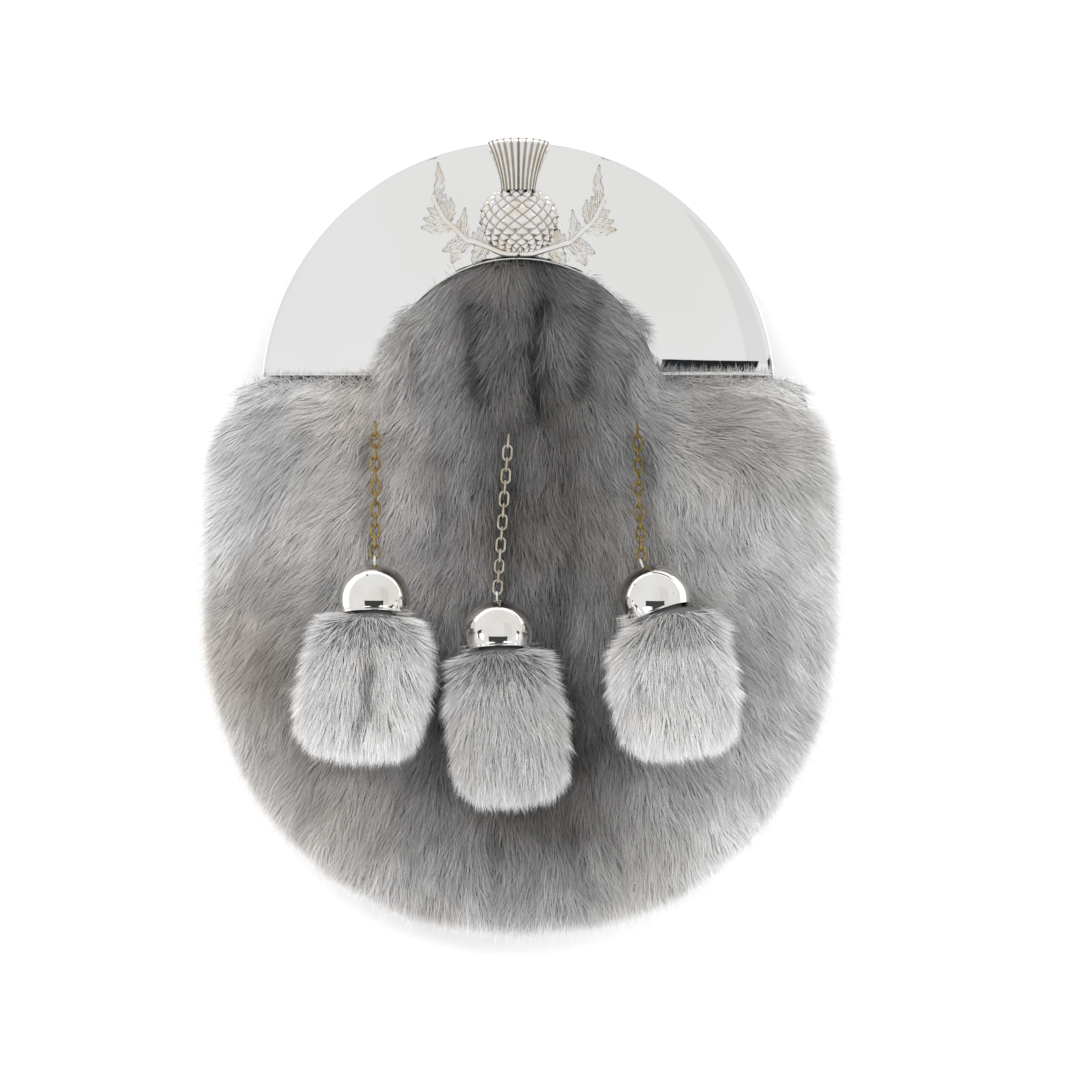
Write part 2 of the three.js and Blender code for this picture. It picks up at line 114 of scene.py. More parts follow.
# %% Mesh helpers
def make_mesh(name, points, faces, smooth=True, replaces=()):
    """A mesh object from points in millimetres and triangles or quads of one size."""
    points = np.asarray(points, float).reshape(-1, 3) * MM
    faces = np.asarray(faces, np.int32)
    me = bpy.data.meshes.new(name)
    me.vertices.add(len(points))
    me.vertices.foreach_set("co", points.ravel())
    me.loops.add(faces.size)
    me.loops.foreach_set("vertex_index", faces.ravel())
    me.polygons.add(len(faces))
    me.polygons.foreach_set("loop_start", np.arange(0, faces.size, faces.shape[1], dtype=np.int32))
    me.polygons.foreach_set("use_smooth", np.full(len(faces), smooth))
    me.update(calc_edges=True)
    ob = bpy.data.objects.new(name, me)
    bpy.context.scene.collection.objects.link(ob)
    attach(ob, "root")
    if replaces:
        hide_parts(*replaces)
    return ob


def grid_faces(rows, columns, close_rows=False, close_columns=False, offset=0):
    """Quads of a grid of rows and columns, each way closed on itself if asked."""
    r = np.arange(rows if close_rows else rows - 1)
    c = np.arange(columns if close_columns else columns - 1)
    r, c = np.meshgrid(r, c, indexing="ij")
    r2, c2 = (r + 1) % rows, (c + 1) % columns
    quads = np.stack([r * columns + c, r * columns + c2, r2 * columns + c2, r2 * columns + c], -1)
    return quads.reshape(-1, 4) + offset


def join(parts):
    """Several (points, quads) lists as one."""
    points, faces, offset = [], [], 0
    for p, f in parts:
        p = np.asarray(p, float).reshape(-1, 3)
        points.append(p)
        faces.append(np.asarray(f) + offset)
        offset += len(p)
    return np.concatenate(points), np.concatenate(faces)


def tube(path, radius, sides=10, closed=False):
    """A round tube along a path, with rounded-in ends: each ring stands square to the path."""
    path = np.asarray(path, float)
    ahead = np.roll(path, -1, 0) - np.roll(path, 1, 0)
    if not closed:
        ahead[0], ahead[-1] = path[1] - path[0], path[-1] - path[-2]
    ahead = unit(ahead)
    side = unit(np.cross(ahead, [0.0, 0.05, 1.0]))
    up = np.cross(side, ahead)
    turn = np.linspace(0, 2 * np.pi, sides, endpoint=False)
    r = np.broadcast_to(radius, len(path)).copy()
    if not closed:
        r[0] = r[-1] = 1e-3
    ring = side[:, None] * np.cos(turn)[None, :, None] + up[:, None] * np.sin(turn)[None, :, None]
    return path[:, None] + ring * r[:, None, None], grid_faces(len(path), sides, closed, True)


def outward(points, quads):
    """The same quads, turned round if the solid they close is inside out."""
    p = np.asarray(points).reshape(-1, 3)[quads]
    volume = np.einsum("ij,ij->i", p[:, 0], np.cross(p[:, 1], p[:, 2])).sum()
    volume += np.einsum("ij,ij->i", p[:, 0], np.cross(p[:, 2], p[:, 3])).sum()
    return quads if volume > 0 else quads[:, ::-1]


print("helpers ready")

# %% [markdown]
# ## Materials
# Colours are given as the eye sees them and turned into light values by one function.


# %% Material helpers
def light(hex_colour, gain=1.0):
    """Linear RGBA of an sRGB hex colour."""
    value = np.array([int(hex_colour[i : i + 2], 16) / 255 for i in (1, 3, 5)])
    value = np.where(value <= 0.04045, value / 12.92, ((value + 0.055) / 1.055) ** 2.4)
    return (*np.clip(value * gain, 0, 1), 1.0)


def node(tree, kind, settings=None, **links):
    """Adds a shader node, sets its inputs by name, and links what is given as a socket."""
    made = tree.nodes.new(kind)
    for key, value in (settings or {}).items():
        setattr(made, key, value)
    for key, value in links.items():
        socket = made.inputs[key.replace("_", " ")]
        if isinstance(value, bpy.types.NodeSocket):
            tree.links.new(value, socket)
        else:
            socket.default_value = value
    return made


def material(name, **values):
    """A material with one Principled shader and its plain values."""
    mat = bpy.data.materials.new(name)
    mat.use_nodes = True
    shader = mat.node_tree.nodes["Principled BSDF"]
    for key, value in values.items():
        shader.inputs[key.replace("_", " ")].default_value = value
    return mat, mat.node_tree, shader


def ramp(tree, factor, stops):
    """A colour ramp with the given (place, linear colour) stops."""
    made = node(tree, "ShaderNodeValToRGB", Fac=factor)
    band = made.color_ramp
    band.elements[0].position, band.elements[0].color = stops[0]
    band.elements[1].position, band.elements[1].color = stops[-1]
    for place, colour in stops[1:-1]:
        band.elements.new(place).color = colour
    return made.outputs["Color"]


def rough_noise(tree, scale, detail=3.0):
    """Noise in the piece's own metres."""
    where = node(tree, "ShaderNodeTexCoord").outputs["Object"]
    made = node(tree, "ShaderNodeTexNoise", Vector=where, Scale=scale, Detail=detail)
    return where, made.outputs["Factor" if "Factor" in made.outputs else "Fac"]


# %% Metals and leather
def silver(name, colour, rough, tint, tint_scale, pits=0.0, grooved=False):
    """Polished silver: a faint tarnish in broad patches, fine wear in the polish, and pits where asked."""
    mat, tree, shader = material(name, Metallic=1.0)
    where, cloud = rough_noise(tree, tint_scale)
    base = ramp(tree, cloud, [(0.42, light(colour)), (0.72, light(tint))])
    _, wear = rough_noise(tree, 900.0, 2.0)
    rough_map = node(tree, "ShaderNodeMapRange", Value=wear, To_Min=rough * 0.7, To_Max=rough * 1.5)
    tree.links.new(rough_map.outputs["Result"], shader.inputs["Roughness"])
    if pits:
        cells = node(tree, "ShaderNodeTexVoronoi", Vector=where, Scale=pits)
        spots = ramp(tree, cells.outputs["Distance"], [(0.035, (1, 1, 1, 1)), (0.075, (0, 0, 0, 1))])
        mix = node(tree, "ShaderNodeMix", dict(data_type="RGBA"), Factor=spots)
        tree.links.new(base, mix.inputs[6])
        mix.inputs[7].default_value = light("#5b4030")
        base = mix.outputs[2]
        bump = node(tree, "ShaderNodeBump", dict(invert=True), Height=spots, Strength=0.6, Distance=0.0002)
        tree.links.new(bump.outputs["Normal"], shader.inputs["Normal"])
    if grooved:
        deep = node(tree, "ShaderNodeAttribute", dict(attribute_name="groove")).outputs["Fac"]
        mix = node(tree, "ShaderNodeMix", dict(data_type="RGBA"), Factor=deep)
        tree.links.new(base, mix.inputs[6])
        mix.inputs[7].default_value = light("#857c6e")
        base = mix.outputs[2]
    tree.links.new(base, shader.inputs["Base Color"])
    return mat


plate_silver = silver("polished_silver", "#f6f6f6", 0.04, "#efefed", 9.0)
cast_silver = silver("cast_silver", "#f2f1f0", 0.17, "#ece5d8", 160.0, grooved=True)
ball_silver = silver("ball_silver", "#f2f1ef", 0.035, "#e6dfd3", 70.0, pits=170.0)
antique_brass = silver("antique_brass", "#b59c62", 0.3, "#75603a", 500.0)
worn_nickel = silver("worn_nickel", "#cdc6ba", 0.22, "#a5906c", 260.0)


def leather():
    """Black leather: pebbled grain from one size of cell over a soft mottle in its colour, satin."""
    mat, tree, shader = material("black_leather", Roughness=0.48)
    where, cloud = rough_noise(tree, 60.0)
    tree.links.new(ramp(tree, cloud, [(0.35, light("#151312")), (0.7, light("#2a2624"))]), shader.inputs["Base Color"])
    cells = node(tree, "ShaderNodeTexVoronoi", Vector=where, Scale=900.0)
    bump = node(tree, "ShaderNodeBump", Height=cells.outputs["Distance"], Strength=0.5, Distance=0.0003)
    tree.links.new(bump.outputs["Normal"], shader.inputs["Normal"])
    return mat


black_leather = leather()


def fur_material(name):
    """Fur: the hair's own colour from root to tip, with a soft sheen and no mirror shine."""
    mat, tree, shader = material(name, Roughness=0.55)
    shader.inputs["Specular IOR Level"].default_value = 0.35
    colour = node(tree, "ShaderNodeAttribute", dict(attribute_name="hair_colour")).outputs["Color"]
    _, speck = rough_noise(tree, 1400.0, 2.0)
    vary = node(tree, "ShaderNodeMapRange", Value=speck, To_Min=0.82, To_Max=1.16)
    mixed = node(tree, "ShaderNodeVectorMath", dict(operation="SCALE"), Vector=colour, Scale=vary.outputs["Result"])
    tree.links.new(mixed.outputs["Vector"], shader.inputs["Base Color"])
    return mat


silver_fur = fur_material("silver_fur")
tassel_fur = fur_material("tassel_fur")
print("materials", len(bpy.data.materials))

# %% [markdown]
# ## Outlines and the fur's outer form
# Each outline is a distance from the heart of the pouch in every direction, so one formula serves the
# leather wall, the skin under the fur and the tips of the hair.


# %% Outline formulas
def super_radius(shape, angle):
    """Superellipse: |x/a|^n + |y/b|^n = 1, with its own b and n above and below the heart."""
    upper = np.sin(angle) > 0
    power = np.where(upper, shape["high_power"], shape["low_power"])
    reach = np.where(upper, shape["above"], shape["below"])
    across = np.abs(np.cos(angle)) / shape["wide"]
    along = np.abs(np.sin(angle)) / reach
    return (across**power + along**power) ** (-1 / power)


def arc_radius(radius, angle):
    """Distance to the far side of a circle about the arch's centre, 0 where it is missed."""
    lift = ARCH_Y - HEART
    middle = ARCH_X * np.cos(angle) + lift * np.sin(angle)
    aside = ARCH_X**2 + lift**2 - middle**2
    inside = np.maximum(radius**2 - aside, 0)
    return np.where(radius**2 > aside, middle + np.sqrt(inside), 0)


def wall_radius(angle):
    return np.maximum(super_radius(WALL, angle), arc_radius(ARCH_OUT - 2.5, angle))


def show_radius(angle):
    """How far the fur shows: to its own edge, or to just short of the cantle."""
    level = FOOT_Y - 0.5
    line = (level - HEART) / np.maximum(np.sin(angle), 1e-6)
    opening = math.sqrt((ARCH_IN - 0.5) ** 2 - (level - ARCH_Y) ** 2)
    under = (np.abs(line * np.cos(angle) - ARCH_X) < opening) & (np.sin(angle) > 0)
    plain = super_radius(FUR, angle)
    plain = np.where(np.sin(angle) > 0, np.minimum(plain, line), plain)
    return np.where(under, arc_radius(ARCH_IN - 0.5, angle), plain)


def edge_z(angle):
    up = np.arcsin(np.sin(angle))
    return EDGE_Z + (PLATE_Z + 1 - EDGE_Z) * step(SHOULDER - 0.17, SHOULDER - 0.01, up)


def fur_top(x, y):
    """Height of the fur's outer form: a low crown that falls to the edge."""
    angle = np.arctan2(y - HEART, x)
    share = np.clip(np.hypot(x, y - HEART) / show_radius(angle), 0, 1)
    return edge_z(angle) + (CROWN_Z - edge_z(angle)) * np.sqrt(1 - share**2.6), share


def under_cantle(angle):
    """1 where the cantle covers the panel, 0 where the fur hangs over the gusset."""
    return step(SHOULDER - 0.2, SHOULDER - 0.06, np.arcsin(np.sin(angle)))


# Folds where the fur parts: from one point to another, with a half width and a depth.
FOLDS = [
    dict(x0=-15, y0=84, x1=-12, y1=44, wide=2.6, deep=3.6),
    dict(x0=5, y0=87, x1=4, y1=40, wide=2.6, deep=4.2),
    dict(x0=20, y0=82, x1=16, y1=46, wide=2.4, deep=3.6),
    dict(x0=34, y0=66, x1=30, y1=44, wide=2.4, deep=3.2),
    dict(x0=-33, y0=70, x1=-31, y1=46, wide=2.6, deep=2.0),
    dict(x0=-45.3, y0=38, x1=-45.2, y1=-8, wide=3.0, deep=2.0),
    dict(x0=-3.7, y0=36, x1=-6.6, y1=-18, wide=3.0, deep=2.0),
    dict(x0=36.0, y0=36, x1=38.0, y1=-8, wide=3.0, deep=2.0),
    dict(x0=14, y0=36, x1=12, y1=-70, wide=3.5, deep=1.6),
    dict(x0=-24, y0=30, x1=-25, y1=-60, wide=3.5, deep=1.4),
    dict(x0=-8, y0=-84, x1=-10, y1=-116, wide=3.0, deep=1.8),
    dict(x0=14, y0=-82, x1=20, y1=-112, wide=3.0, deep=1.6),
    dict(x0=-60, y0=-74, x1=-70, y1=-96, wide=3.0, deep=1.3),
    dict(x0=66, y0=-66, x1=78, y1=-88, wide=3.0, deep=1.3),
    dict(x0=-80, y0=6, x1=-96, y1=-20, wide=3.0, deep=1.2),
]


def folds(x, y):
    """How deep the partings are here, the sum of soft valleys about each fold's line."""
    total = np.zeros_like(x, dtype=float)
    for f in FOLDS:
        dx, dy = f["x1"] - f["x0"], f["y1"] - f["y0"]
        along = ((x - f["x0"]) * dx + (y - f["y0"]) * dy) / (dx * dx + dy * dy)
        wave = 1.2 * np.sin(y * 0.21 + f["x0"])
        away = np.abs((x - f["x0"]) * dy - (y - f["y0"]) * dx) / math.hypot(dx, dy) + 0 * wave
        inside = step(-0.08, 0.1, along) * step(1.08, 0.9, along)
        total += f["deep"] * inside * np.exp(-((away / f["wide"]) ** 2))
    return total


# Patches of colour: centre, reach each way, and how much the tone moves (sRGB steps of 255).
TONES = [
    dict(x=2, y=75, rx=26, ry=60, tone=-44, warm=0.0),
    dict(x=6, y=4, rx=21, ry=56, tone=-46, warm=0.2),
    dict(x=0, y=-74, rx=27, ry=27, tone=-50, warm=0.0),
    dict(x=18, y=-60, rx=14, ry=16, tone=-18, warm=0.0),
    dict(x=-24, y=-62, rx=10, ry=16, tone=-16, warm=0.0),
    dict(x=-80, y=-34, rx=16, ry=16, tone=-22, warm=1.0),
    dict(x=-66, y=-80, rx=16, ry=16, tone=-10, warm=0.7),
    dict(x=-48, y=30, rx=14, ry=20, tone=6, warm=0.8),
    dict(x=62, y=38, rx=12, ry=12, tone=-16, warm=0.5),
    dict(x=88, y=-70, rx=18, ry=18, tone=8, warm=0.0),
    dict(x=52, y=-84, rx=18, ry=14, tone=10, warm=0.0),
]


def fur_tone(x, y, share):
    """Tone of the fur and its warmth: a pale coat with a dark stripe down the middle and paler edges."""
    tone, warm = np.full_like(x, 158.0), np.zeros_like(x)
    for t in TONES:
        here = np.exp(-0.5 * (((x - t["x"]) / t["rx"]) ** 2 + ((y - t["y"]) / t["ry"]) ** 2))
        tone = tone + t["tone"] * here
        warm = warm + t["warm"] * here
    tone = tone + 22 * step(0.8, 1.0, share) * step(55, 30, y)
    tone = tone + 9 * noise(x, y, 13, 3) + 8 * noise(x * 1.4, y * 0.5, 4.5, 5)
    return tone, np.clip(warm + 0.25 * noise(x, y, 21, 9) + 0.1, 0, 1.2)


def hair_colour(tone, warm, gain):
    """Linear colour of a hair from its tone and warmth."""
    srgb = np.stack([tone + 1.5 * warm, tone - 3.5 * warm, tone - 8.0 * warm], -1) / 255
    return np.clip(gain * np.clip(srgb, 0.02, 1) ** 2.2, 0, 0.95)


print("outline at sides", float(show_radius(np.array([0.0]))[0]))


# %% Hair maker
def hairs(name, roots, tips, widths, dark, pale, mat, replaces=()):
    """Fine closed hairs: each is a three-sided spike from a root to a point.
    Every hair has its own small cell in the bake map, with the root low and the tip high."""
    n = len(roots)
    ahead = unit(tips - roots)
    side = unit(np.cross(ahead, [0.0, 0.0, 1.0]) + 1e-6)
    up = np.cross(side, ahead)
    turn = rng.uniform(0, 2 * np.pi, (n, 1)) + np.array([0, 2, 4]) * np.pi / 3
    ring = side[:, None] * np.cos(turn)[..., None] + up[:, None] * np.sin(turn)[..., None]
    points = np.concatenate([roots[:, None] + ring * widths[:, None, None], tips[:, None]], 1)
    base = np.arange(n)[:, None, None] * 4
    faces = base + np.array([[0, 3, 1], [1, 3, 2], [2, 3, 0], [0, 1, 2]])
    one = points[0][faces[0]]
    if np.einsum("ij,ij->i", one[:, 0] - points[0].mean(0), np.cross(one[:, 1] - one[:, 0], one[:, 2] - one[:, 0])).sum() < 0:
        faces = faces[..., ::-1]
    ob = make_mesh(name, points, faces.reshape(-1, 3), smooth=False, replaces=replaces)
    me = ob.data
    colour = np.ones((n, 4, 4))
    colour[:, :3, :3] = dark[:, None]
    colour[:, 3, :3] = pale
    me.attributes.new("hair_colour", "FLOAT_COLOR", "POINT").data.foreach_set("color", colour.ravel())
    cells = math.ceil(math.sqrt(n))
    corner = np.stack([np.arange(n) % cells, np.arange(n) // cells], -1)[:, None, None]
    local = np.array([
        [[0.04, 0.06], [0.17, 0.94], [0.30, 0.06]], [[0.36, 0.06], [0.49, 0.94], [0.62, 0.06]],
        [[0.68, 0.06], [0.81, 0.94], [0.94, 0.06]], [[0.28, 0.9], [0.38, 0.9], [0.33, 0.6]],
    ])
    if (faces[0, 0] != np.array([0, 3, 1])).any():
        local = local[:, ::-1]
    uv = (corner + local[None]) / cells
    layer = me.uv_layers.new(name="OFBake")
    layer.uv.foreach_set("vector", uv.astype(np.float32).ravel())
    me.materials.append(mat)
    return ob


print("hair maker ready")

# %% [markdown]
# ## The skin and undercoat
# A closed body a little inside the outer form, lumpy where the fur clumps. It is the fur's shadow colour,
# so that the gaps between hairs are dark and never show through.

# %% Undercoat
PILE = 4.6


def undercoat():
    """Rings from the crown outwards, over the edge, back under the lip to the panel's seat."""
    angle = np.linspace(0, 2 * np.pi, 300, endpoint=False)
    show, wall, fold = show_radius(angle), wall_radius(angle), under_cantle(angle)
    slide = step(SHOULDER - 0.05, SHOULDER + 0.04, np.arcsin(np.sin(angle)))
    rings = []
    for share in np.concatenate([[0.004], np.linspace(0.04, 0.9, 34), [0.93, 0.955, 0.975, 0.99]]):
        x, y = show * share * np.cos(angle), HEART + show * share * np.sin(angle)
        z = fur_top(x, y)[0] - PILE * (1 - 0.35 * fold * step(0.9, 1, share)) - 0.8 * folds(x, y)
        z = z + 0.7 * noise(x, y, 5.5, 21) + 0.4 * noise(x, y, 2.4, 22)
        squeeze = 1 - step(0.7, 1.0, share) * (PILE / show) * (1 - fold)
        rings.append(np.stack([x * squeeze, HEART + (y - HEART) * squeeze, z], -1))
    edge = wall + 0.5 - 0.7 * slide
    top = PANEL_Z + 2.0

    def ring(radius, z):
        return np.stack([radius * np.cos(angle), HEART + radius * np.sin(angle), z + 0 * radius], -1)

    rings.append(ring(show - 4.6 * (1 - fold), 29.0 + (top - 29.0) * fold))
    rings.append(ring(np.maximum(show - 6, edge + 0.6) * (1 - slide) + edge * slide, 24.5 + (top - 0.3 - 24.5) * fold))
    rings.append(ring(edge, 24.2 + (top - 1 - 24.2) * fold))
    rings.append(ring(edge, PANEL_Z + 0 * edge))
    rings.append(ring(0.01 * edge, PANEL_Z + 0 * edge))
    points = np.concatenate(rings)
    quads = outward(points, grid_faces(len(rings), len(angle), False, True))
    caps = [[len(points), len(points) + 1]]
    ob = make_mesh("fur_undercoat", points, quads, replaces=("fur_front",))
    x, y = points[:, 0], points[:, 1]
    tone, warm = fur_tone(x, y, fur_top(x, y)[1])
    colour = np.concatenate([hair_colour(tone * 0.55, warm, 1.0), np.ones((len(x), 1))], -1)
    ob.data.attributes.new("hair_colour", "FLOAT_COLOR", "POINT").data.foreach_set("color", colour.ravel())
    ob.data.materials.append(silver_fur)
    return ob


undercoat()
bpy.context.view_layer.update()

# %% [markdown]
# ## The coat
# Hair is combed down and outwards from the top of the arch, with a swirl by the right shoulder, and lies
# at about thirty degrees to the skin. Tufts turn a little this way and that, as clipped mink does.


# %% Coat
def flow(x, y):
    """Direction the hair is combed in plan: away from a point above the arch, bent by tufts and a swirl."""
    angle = np.arctan2(y - 105, x * 1.25)
    angle = angle + 0.42 * noise(x, y, 10, 31) + 0.28 * noise(x, y, 4.2, 32)
    swirl = np.exp(-(((x - 64) / 16) ** 2 + ((y - 24) / 24) ** 2))
    angle = angle + 1.1 * swirl * np.sin((y - 24) / 11)
    return np.stack([np.cos(angle), np.sin(angle)], -1)


def surface_normal(x, y):
    h = 0.4
    zx = (fur_top(x + h, y)[0] - fur_top(x - h, y)[0]) / (2 * h)
    zy = (fur_top(x, y + h)[0] - fur_top(x, y - h)[0]) / (2 * h)
    return unit(np.stack([-np.clip(zx, -1.6, 1.6), -np.clip(zy, -1.6, 1.6), np.ones_like(x)], -1))


def coat(name, count, low, high, length, seed):
    """Hairs over the top of the form whose share of the way out is between low and high."""
    draw = np.random.default_rng(seed)
    angle = draw.uniform(0, 2 * np.pi, count * 3)
    keep = draw.uniform(0, 1, count * 3) < (show_radius(angle) / 125) ** 2
    angle = angle[keep][:count]
    share = np.sqrt(draw.uniform(low**2, high**2, len(angle)))
    x, y = show_radius(angle) * share * np.cos(angle), HEART + show_radius(angle) * share * np.sin(angle)
    z, share = fur_top(x, y)
    normal = surface_normal(x, y)
    plan = flow(x, y)
    spread = draw.normal(0, 0.2, len(x))
    plan = np.stack([plan[:, 0] * np.cos(spread) - plan[:, 1] * np.sin(spread),
                     plan[:, 0] * np.sin(spread) + plan[:, 1] * np.cos(spread)], -1)
    along = np.concatenate([plan, np.zeros((len(x), 1))], -1)
    along = unit(along - normal * np.einsum("ij,ij->i", along, normal)[:, None])
    dent = folds(x, y)
    tuft = 0.5 * noise(x, y, 5.5, 21) + 0.5 * noise(x, y, 2.4, 22)
    rise = np.radians(draw.uniform(17, 36, len(x)) + 8 * tuft)
    size = length * draw.uniform(0.7, 1.12, len(x))
    depth = PILE + 0.2 + 0.9 * dent
    roots = np.stack([x, y, z], -1) - normal * depth[:, None]
    tips = roots + (along * np.cos(rise)[:, None] + normal * np.sin(rise)[:, None]) * size[:, None]
    tip_top, tip_share = fur_top(tips[:, 0], tips[:, 1])
    tips[:, 2] = np.where(tip_share < 0.985, np.minimum(tips[:, 2], tip_top + 0.4 - 0.6 * dent), tips[:, 2])
    angle_tip = np.arctan2(tips[:, 1] - HEART, tips[:, 0])
    limit = show_radius(angle_tip) + 0.6
    reach = np.hypot(tips[:, 0], tips[:, 1] - HEART)
    pull = np.minimum(1, limit / np.maximum(reach, 1))
    tips[:, 0] *= pull
    tips[:, 1] = HEART + (tips[:, 1] - HEART) * pull
    tone, warm = fur_tone(x, y, share)
    # Painted shade: hairs in the partings are darker, nine tone steps for each millimetre of the parting's depth.
    tone = tone * (1 + 0.10 * tuft) + draw.normal(0, 9, len(x)) - 9 * dent
    pale = hair_colour(tone * 1.06 + 8, warm, 1.55)
    dark = hair_colour(tone * 0.8, warm, 1.4)
    width = draw.uniform(0.09, 0.17, len(x))
    return hairs(name, roots, tips, width, dark, pale, silver_fur)


def rim_hair(name, count, seed):
    """Hair round the edge, from just above the widest line to under the lip, pointing out and down."""
    draw = np.random.default_rng(seed)
    angle = draw.uniform(-np.pi - SHOULDER + 0.02, SHOULDER - 0.02, count)
    fold = under_cantle(angle)
    tilt = np.radians(draw.uniform(-80, 62, count) * (1 - fold) + 40 * fold)
    inner = 5.5 * (1 - 0.7 * fold)
    middle_r = show_radius(angle) - 7
    middle_z = 30.5 + (PLATE_Z - 3 - 30.5) * fold
    out = np.stack([np.cos(angle), np.sin(angle), 0 * angle], -1)
    normal = out * np.cos(tilt)[:, None] + np.array([0, 0, 1.0]) * np.sin(tilt)[:, None]
    centre = out * middle_r[:, None] + np.array([0, HEART, 0])
    centre[:, 2] = middle_z
    roots = centre + normal * (inner - 4.2)[:, None] * np.array([1, 1, 1.2])
    plan = flow(roots[:, 0], roots[:, 1])
    along = np.concatenate([plan * 0.7, (0.5 * fold - 0.35)[:, None]], -1) + out * 0.6
    along = unit(along - normal * np.einsum("ij,ij->i", along, normal)[:, None] + draw.normal(0, 0.16, (count, 3)))
    rise = np.radians(draw.uniform(26, 48, count))
    size = draw.uniform(7.5, 13.0, count)
    tips = roots + (along * np.cos(rise)[:, None] + normal * np.sin(rise)[:, None]) * size[:, None]
    reach = np.hypot(tips[:, 0], tips[:, 1] - HEART)
    limit = show_radius(np.arctan2(tips[:, 1] - HEART, tips[:, 0])) + draw.uniform(-2.5, 1.0, count) + draw.exponential(1.6, count)
    pull = np.minimum(1, limit / reach)
    tips[:, 0] *= pull
    tips[:, 1] = HEART + (tips[:, 1] - HEART) * pull
    tips[:, 2] = np.maximum(tips[:, 2], 19.5)
    tone, warm = fur_tone(roots[:, 0], roots[:, 1], np.ones(count))
    tone = tone + draw.normal(0, 8, count) + 6
    return hairs(name, roots, tips, draw.uniform(0.09, 0.15, count), hair_colour(tone * 0.8, warm, 1.4),
                 hair_colour(tone * 1.1 + 12, warm, 1.6), silver_fur)


def border_hair(name, count, seed):
    """Hair rooted along and just under the cantle's lower edge: most flows down over the coat, the rest stands
    and laps a little over the metal."""
    draw = np.random.default_rng(seed)
    angle = draw.uniform(SHOULDER - 0.08, np.pi - SHOULDER + 0.08, count)
    share = draw.uniform(0.93, 1.012, count)
    radius = show_radius(angle) * share
    x, y = radius * np.cos(angle), HEART + radius * np.sin(angle)
    z = np.maximum(fur_top(x, y)[0] - draw.uniform(3.2, 4.4, count), 36.8)
    upright = draw.uniform(0, 1, count) < 0.03 + 0.3 * step(0.5, 0.62, np.abs(angle - np.pi / 2))
    plan = flow(x, y)
    out = np.stack([np.cos(angle), np.sin(angle)], -1)
    plan = np.where(upright[:, None], unit(out * 0.8 + draw.normal(0, 0.5, (count, 2))), plan)
    rise = np.radians(np.where(upright, draw.uniform(48, 78, count), draw.uniform(26, 44, count)))
    size = np.where(upright, draw.uniform(5.0, 8.0, count), draw.uniform(8.0, 11.0, count))
    roots = np.stack([x, y, z], -1)
    way = np.concatenate([plan * np.cos(rise)[:, None], np.sin(rise)[:, None]], -1)
    way = unit(way + draw.normal(0, 0.1, (count, 3)))
    tips = roots + way * size[:, None]
    over = np.hypot(tips[:, 0], tips[:, 1] - HEART) > show_radius(np.arctan2(tips[:, 1] - HEART, tips[:, 0])) - 0.3
    tips[:, 2] = np.where(over, np.maximum(tips[:, 2], 43.0), tips[:, 2])
    tone, warm = fur_tone(x, y, share * 0.8)
    # Painted shade: hairs in the partings are darker, six tone steps for each millimetre of the parting's depth.
    tone = tone + draw.normal(0, 10, count) - 6 * folds(x, y) + 26 * step(45, 80, np.abs(x))
    return hairs(name, roots, tips, draw.uniform(0.09, 0.16, count), hair_colour(tone * 0.84, warm, 1.4),
                 hair_colour(tone * 1.08 + 10, warm, 1.6), silver_fur)


MANY = 1.0
coat("fur_coat_inner", int(42000 * MANY), 0.0, 0.62, 11.0, 41)
coat("fur_coat_middle", int(38000 * MANY), 0.6, 0.84, 11.0, 42)
coat("fur_coat_outer", int(36000 * MANY), 0.82, 0.985, 11.0, 43)
rim_hair("fur_coat_edge", int(26000 * MANY), 44)
border_hair("fur_coat_border", int(10000 * MANY), 45)
print("coat done")

# %% [markdown]
# ## The cantle
# One sheet of silver, domed across its width and turned back round the outside. A grid of sections is
# swept over the arch; each section's sweep starts where its radius meets the straight foot.


# %% Cantle
def plate_top(r):
    """Height of the plate's face: a parabola across its width."""
    middle, half = (ARCH_IN + ARCH_OUT) / 2, (ARCH_OUT - ARCH_IN) / 2
    return PLATE_Z + DOME * (1 - ((r - middle) / half) ** 2)


